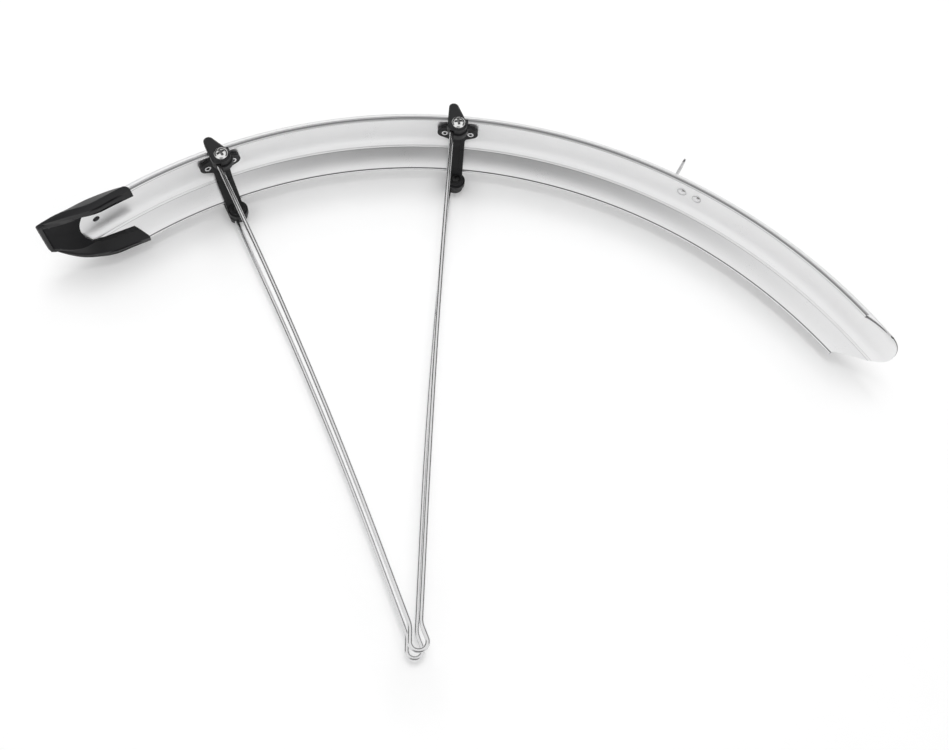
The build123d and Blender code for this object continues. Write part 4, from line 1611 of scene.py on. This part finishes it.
    def pin(
        self, name: str, run: float, y: float, radius: float, low: float, high: float
    ) -> bpy.types.Object:
        """Round pin square to the arch with a rounded end towards the wheel.

        Args:
            name: name of the piece.
            run: run behind the rear corners.
            y: distance from the middle plane.
            radius: its radius.
            low: height of its end above the rims.
            high: height of its root.

        Returns:
            The piece.
        """
        angle = self.blade.rear_corner + math.degrees(run / ARCH.rim_radius)
        _, left, out = ARCH.radial(angle)
        base = crown_point(angle, False, 0.0) + y * MM * left
        profile = [(0.0, low), (0.6 * radius, low), (0.9 * radius, low + 0.15 * radius),
                   (radius, low + 0.4 * radius), (radius, high), (0.0, high)]
        return lathe(name, np.array(profile), base, out, left, 32)

    def holes(self) -> List[Hole]:
        """Hole of the blade for the stud."""
        angle = self.blade.rear_corner + math.degrees(self.stud_run / ARCH.rim_radius)
        return [(angle, self.stud_hole, False)]

    def build(self, finishes: Finishes) -> None:
        """Make and dress the shoe and its stud.

        Args:
            finishes: materials of the part.
        """
        gate = self.pin("gate", *self.gate, self.gate_radius, *self.gate_heights)
        shoe = self.body()
        carve(shoe, [self.mouth(), gate], self.sharp)
        settle(shoe, Slot.PLASTIC, finishes, "end_shoe")
        # the sunk panel gets the matt finish, its darker colour painted shade
        refinish(shoe, self.on_panel(shoe), finishes.shaded_matt_panel)
        low = self.blade.depth + self.stud_sink
        high = self.blade.depth + self.blade.sheet + self.stud_root
        stud = self.pin("end_shoe_stud", self.stud_run, 0.0, self.stud / 2, low, high)
        settle(stud, Slot.PLASTIC, finishes, "end_shoe")


# The studio
def stand(obj: bpy.types.Object, axes: Sequence[np.ndarray], place: np.ndarray) -> None:
    """Put the camera or a light in its place.

    Args:
        obj: camera or light.
        axes: its right, up and back directions.
        place: its place in metres.
    """
    turn = np.eye(4)
    turn[:3, :3] = np.stack(axes, axis=1)
    turn[:3, 3] = place
    obj.matrix_world = Matrix(turn.tolist())
    bpy.context.scene.collection.objects.link(obj)


@dataclass(frozen=True)
class DarkCard:
    """Dark card that stands on the table out of the picture, for bright metal to mirror as a dark band.

    It is bent round the part. Its reach to each side of its middle and its rise above the table each
    have two values: where the card starts to fade out, and where it ends.
    """

    name: str
    radius: float
    middle: float
    reach: Pair
    rise: Pair
    grey: float
    centre_x: float = -180.0
    steps: int = 49

    def build(self, table_y: float) -> bpy.types.Object:
        """Make the card and hide it from camera, diffuse and shadow rays.

        A point is the card's radius turned about an axis along Y, lifted off the table by its rise.

        Args:
            table_y: place of the table along Y.

        Returns:
            The card.
        """
        along = np.linspace(-self.reach[1], self.reach[1], self.steps)
        along, up = np.meshgrid(along, [0.0, self.rise[1]], indexing="ij")
        turn = np.radians(self.middle) + along / self.radius
        x, z = self.centre_x + self.radius * np.cos(turn), self.radius * np.sin(turn)
        points = np.stack([x, table_y - up, z], axis=-1).reshape(-1, 3) * MM
        skin = np.stack([along, up], axis=-1).reshape(-1, 2) * MM
        obj = surface(self.name, points, grid_quads(*along.shape, False, False), skin)
        material, g = new_material(self.name)
        u, v = g.parts(g.skin(), "XY")
        fade_out = u.size().step(self.reach[1] * MM, self.reach[0] * MM)
        fade_up = v.step(self.rise[1] * MM, self.rise[0] * MM)
        card = g.node("ShaderNodeEmission", {}, {"Color": (*(self.grey,) * 3, 1.0), "Strength": 1.0})
        clear = g.node("ShaderNodeBsdfTransparent")
        g.finish(g.node("ShaderNodeMixShader", {}, {0: fade_out * fade_up, 1: clear, 2: card}))
        obj.data.materials.append(material)
        obj.visible_camera = obj.visible_diffuse = obj.visible_shadow = False
        return obj


@dataclass
class Studio:
    """White table behind the part's left side, soft light from above it, and the camera."""

    camera_place: Triple = (-203.6, -650.8, -442.9)
    focal_pixels: float = 1050.0
    axle_vanishing_point: Pair = (387.8, 811.4)
    sensor: float = 36.0
    clip_end: float = 50.0
    table_y: float = 44.0
    table_half: float = 3000.0
    table_grey: float = 0.95
    table_glow: float = 0.1
    table_grain: float = 40.0
    table_spread: float = 0.01
    key_place: Triple = (-230.0, -1700.0, 200.0)
    key_aim: Triple = (-180.0, 0.0, -80.0)
    key_size: float = 900.0
    key_power: float = 11.5
    room: float = 0.112
    roof: float = 1.136
    window: float = 0.48
    windows: Tuple[Triple, ...] = ((0.55, -0.45, -0.70), (-0.60, -0.50, -0.62))
    window_edge: Pair = (0.84, 0.98)
    roof_edges: Tuple[Tuple[str, float, float], ...] = (
        ("Z", -0.72, -0.42), ("Z", 0.88, 0.60), ("X", -0.85, -0.5), ("X", 0.85, 0.5), ("Y", 0.0, -0.1),
    )
    cards: Tuple[DarkCard, ...] = (
        DarkCard("dark_card_near", 1000.0, -90.0, (220.0, 580.0), (820.0, 1750.0), 0.23),
        DarkCard("dark_card_far", 1500.0, 90.0, (2600.0, 2900.0), (750.0, 1900.0), 0.03),
    )

    def camera(self) -> bpy.types.Object:
        """Camera whose +Y axis runs to the asked vanishing point, with +X level in the picture.

        Returns:
            The camera.
        """
        centre = np.array(IMAGE_SIZE) / 2
        away = np.array([*(np.array(self.axle_vanishing_point) - centre), self.focal_pixels])
        away = away / np.linalg.norm(away)
        right = np.array([1.0, 0.0, 0.0]) - away * away[0]
        right = right / np.linalg.norm(right)
        up = np.cross(right, away)
        up = up if up[1] < 0 else -up
        rows = np.stack([right, away, up], axis=1)
        data = bpy.data.cameras.new("camera")
        data.sensor_fit = "HORIZONTAL"
        data.sensor_width = self.sensor
        data.lens = self.sensor * self.focal_pixels / IMAGE_SIZE[0]
        data.clip_end = self.clip_end
        obj = bpy.data.objects.new("camera", data)
        stand(obj, (rows[0], -rows[1], -rows[2]), np.array(self.camera_place) * MM)
        bpy.context.scene.camera = obj
        return obj

    def table(self) -> bpy.types.Object:
        """White table that shows only its front: a plane square to Y at its distance.

        Returns:
            The table.
        """
        half, y = self.table_half * MM, self.table_y * MM
        points = [(-half, y, -half), (half, y, -half), (half, y, half), (-half, y, half)]
        mesh = bpy.data.meshes.new("table")
        mesh.from_pydata(points, [], [(0, 1, 2, 3)])
        obj = bpy.data.objects.new("table", mesh)
        bpy.context.scene.collection.objects.link(obj)
        material, g = new_material("white_table")
        grain = g.noise(g.place(), self.table_grain, 3.0)
        low, high = self.table_grey - self.table_spread, self.table_grey + self.table_spread
        paper = g.node("ShaderNodeBsdfDiffuse", {}, {"Color": g.blend(grain, (low,) * 3, (high,) * 3)})
        glow = g.node("ShaderNodeEmission", {}, {"Color": WHITE, "Strength": 1.0})
        front = g.node("ShaderNodeMixShader", {}, {0: self.seen(g) * self.table_glow, 1: paper, 2: glow})
        back = g.node("ShaderNodeNewGeometry", output="Backfacing")
        clear = g.node("ShaderNodeBsdfTransparent")
        g.finish(g.node("ShaderNodeMixShader", {}, {0: back, 1: front, 2: clear}))
        mesh.materials.append(material)
        return obj

    @staticmethod
    def seen(g: Graph) -> Value:
        """Which rays show the stage itself: straight, mirrored or through glass.

        Args:
            g: graph of a stage material or of the world.

        Returns:
            One for those rays, zero for the others.
        """
        kinds = ("Is Camera Ray", "Is Glossy Ray", "Is Transmission Ray")
        camera, glossy, through = (g.node("ShaderNodeLightPath", output=kind) for kind in kinds)
        return camera.larger(glossy).larger(through)

    def key_light(self) -> bpy.types.Object:
        """Large soft light over the table, aimed at the blade.

        Returns:
            The light.
        """
        data = bpy.data.lights.new("key", "AREA")
        data.shape = "DISK"
        data.size = self.key_size * MM
        data.energy = self.key_power
        obj = bpy.data.objects.new("key", data)
        obj.visible_glossy = False
        place, aim = np.array(self.key_place) * MM, np.array(self.key_aim) * MM
        back = (place - aim) / np.linalg.norm(place - aim)
        right = np.cross((0.0, 0.0, 1.0), back)
        right = right / np.linalg.norm(right)
        stand(obj, (right, np.cross(back, right), back), place)
        return obj

    def sky(self) -> None:
        """Room with a pale oblong roof over the table and a window on each side of the camera.

        The camera and the metal see the room as plain white.
        """
        world = bpy.data.worlds.new("room")
        world.use_nodes = True
        bpy.context.scene.world = world
        g = Graph(world.node_tree)
        way = g.node("ShaderNodeTexCoord", output="Generated")
        axes = dict(zip("XYZ", g.parts(way, "XYZ")))
        above = self.roof - self.room
        for axis, start, whole in self.roof_edges:
            above = above * axes[axis].step(start, whole)
        level = self.room + above
        for window_way in self.windows:
            level = level + self.window * self.towards(g, way, window_way).step(*self.window_edge)
        level = level + self.seen(g) * (1.0 - level)
        room = g.node("ShaderNodeBackground", {}, {"Color": WHITE, "Strength": level})
        g.finish(room, "ShaderNodeOutputWorld")

    @staticmethod
    def towards(g: Graph, way: Value, aim: Triple) -> Value:
        """Cosine of the angle between a direction and an aim."""
        settings, inputs = {"operation": "DOT_PRODUCT"}, {0: way, 1: aim}
        return g.node("ShaderNodeVectorMath", settings, inputs, "Value")

    def build(self) -> None:
        """Set up the camera, the table, the dark cards, the light and the room."""
        self.camera()
        self.table()
        for card in self.cards:
            card.build(self.table_y)
        self.key_light()
        self.sky()
        bpy.context.scene.view_settings.view_transform = "Standard"


def main() -> None:
    """Build and dress every sub-assembly, then the studio."""
    logging.basicConfig(level=logging.INFO, format="%(name)s: %(message)s")
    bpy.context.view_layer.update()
    blade, clamps, tab = Blade(), Clamps(), CrownTab()
    shoe = EndShoe(blade)
    stays = (
        Stay(Side.LEFT, loop=(-8.85, -11.8), front_bow=3.1),
        Stay(Side.RIGHT, loop=(-8.15, -17.1), front_bow=1.6),
    )
    blade.holes = clamps.holes() + tab.holes() + shoe.holes()
    finishes = Finishes(blade.painted_shade_lines())
    blade.dress(blade.build(), finishes)
    clamps.build(finishes)
    for stay in stays:
        stay.dress(stay.build(clamps), finishes)
    tab.build(finishes)
    shoe.build(finishes)
    Studio().build()


if __name__ == "__main__":
    main()
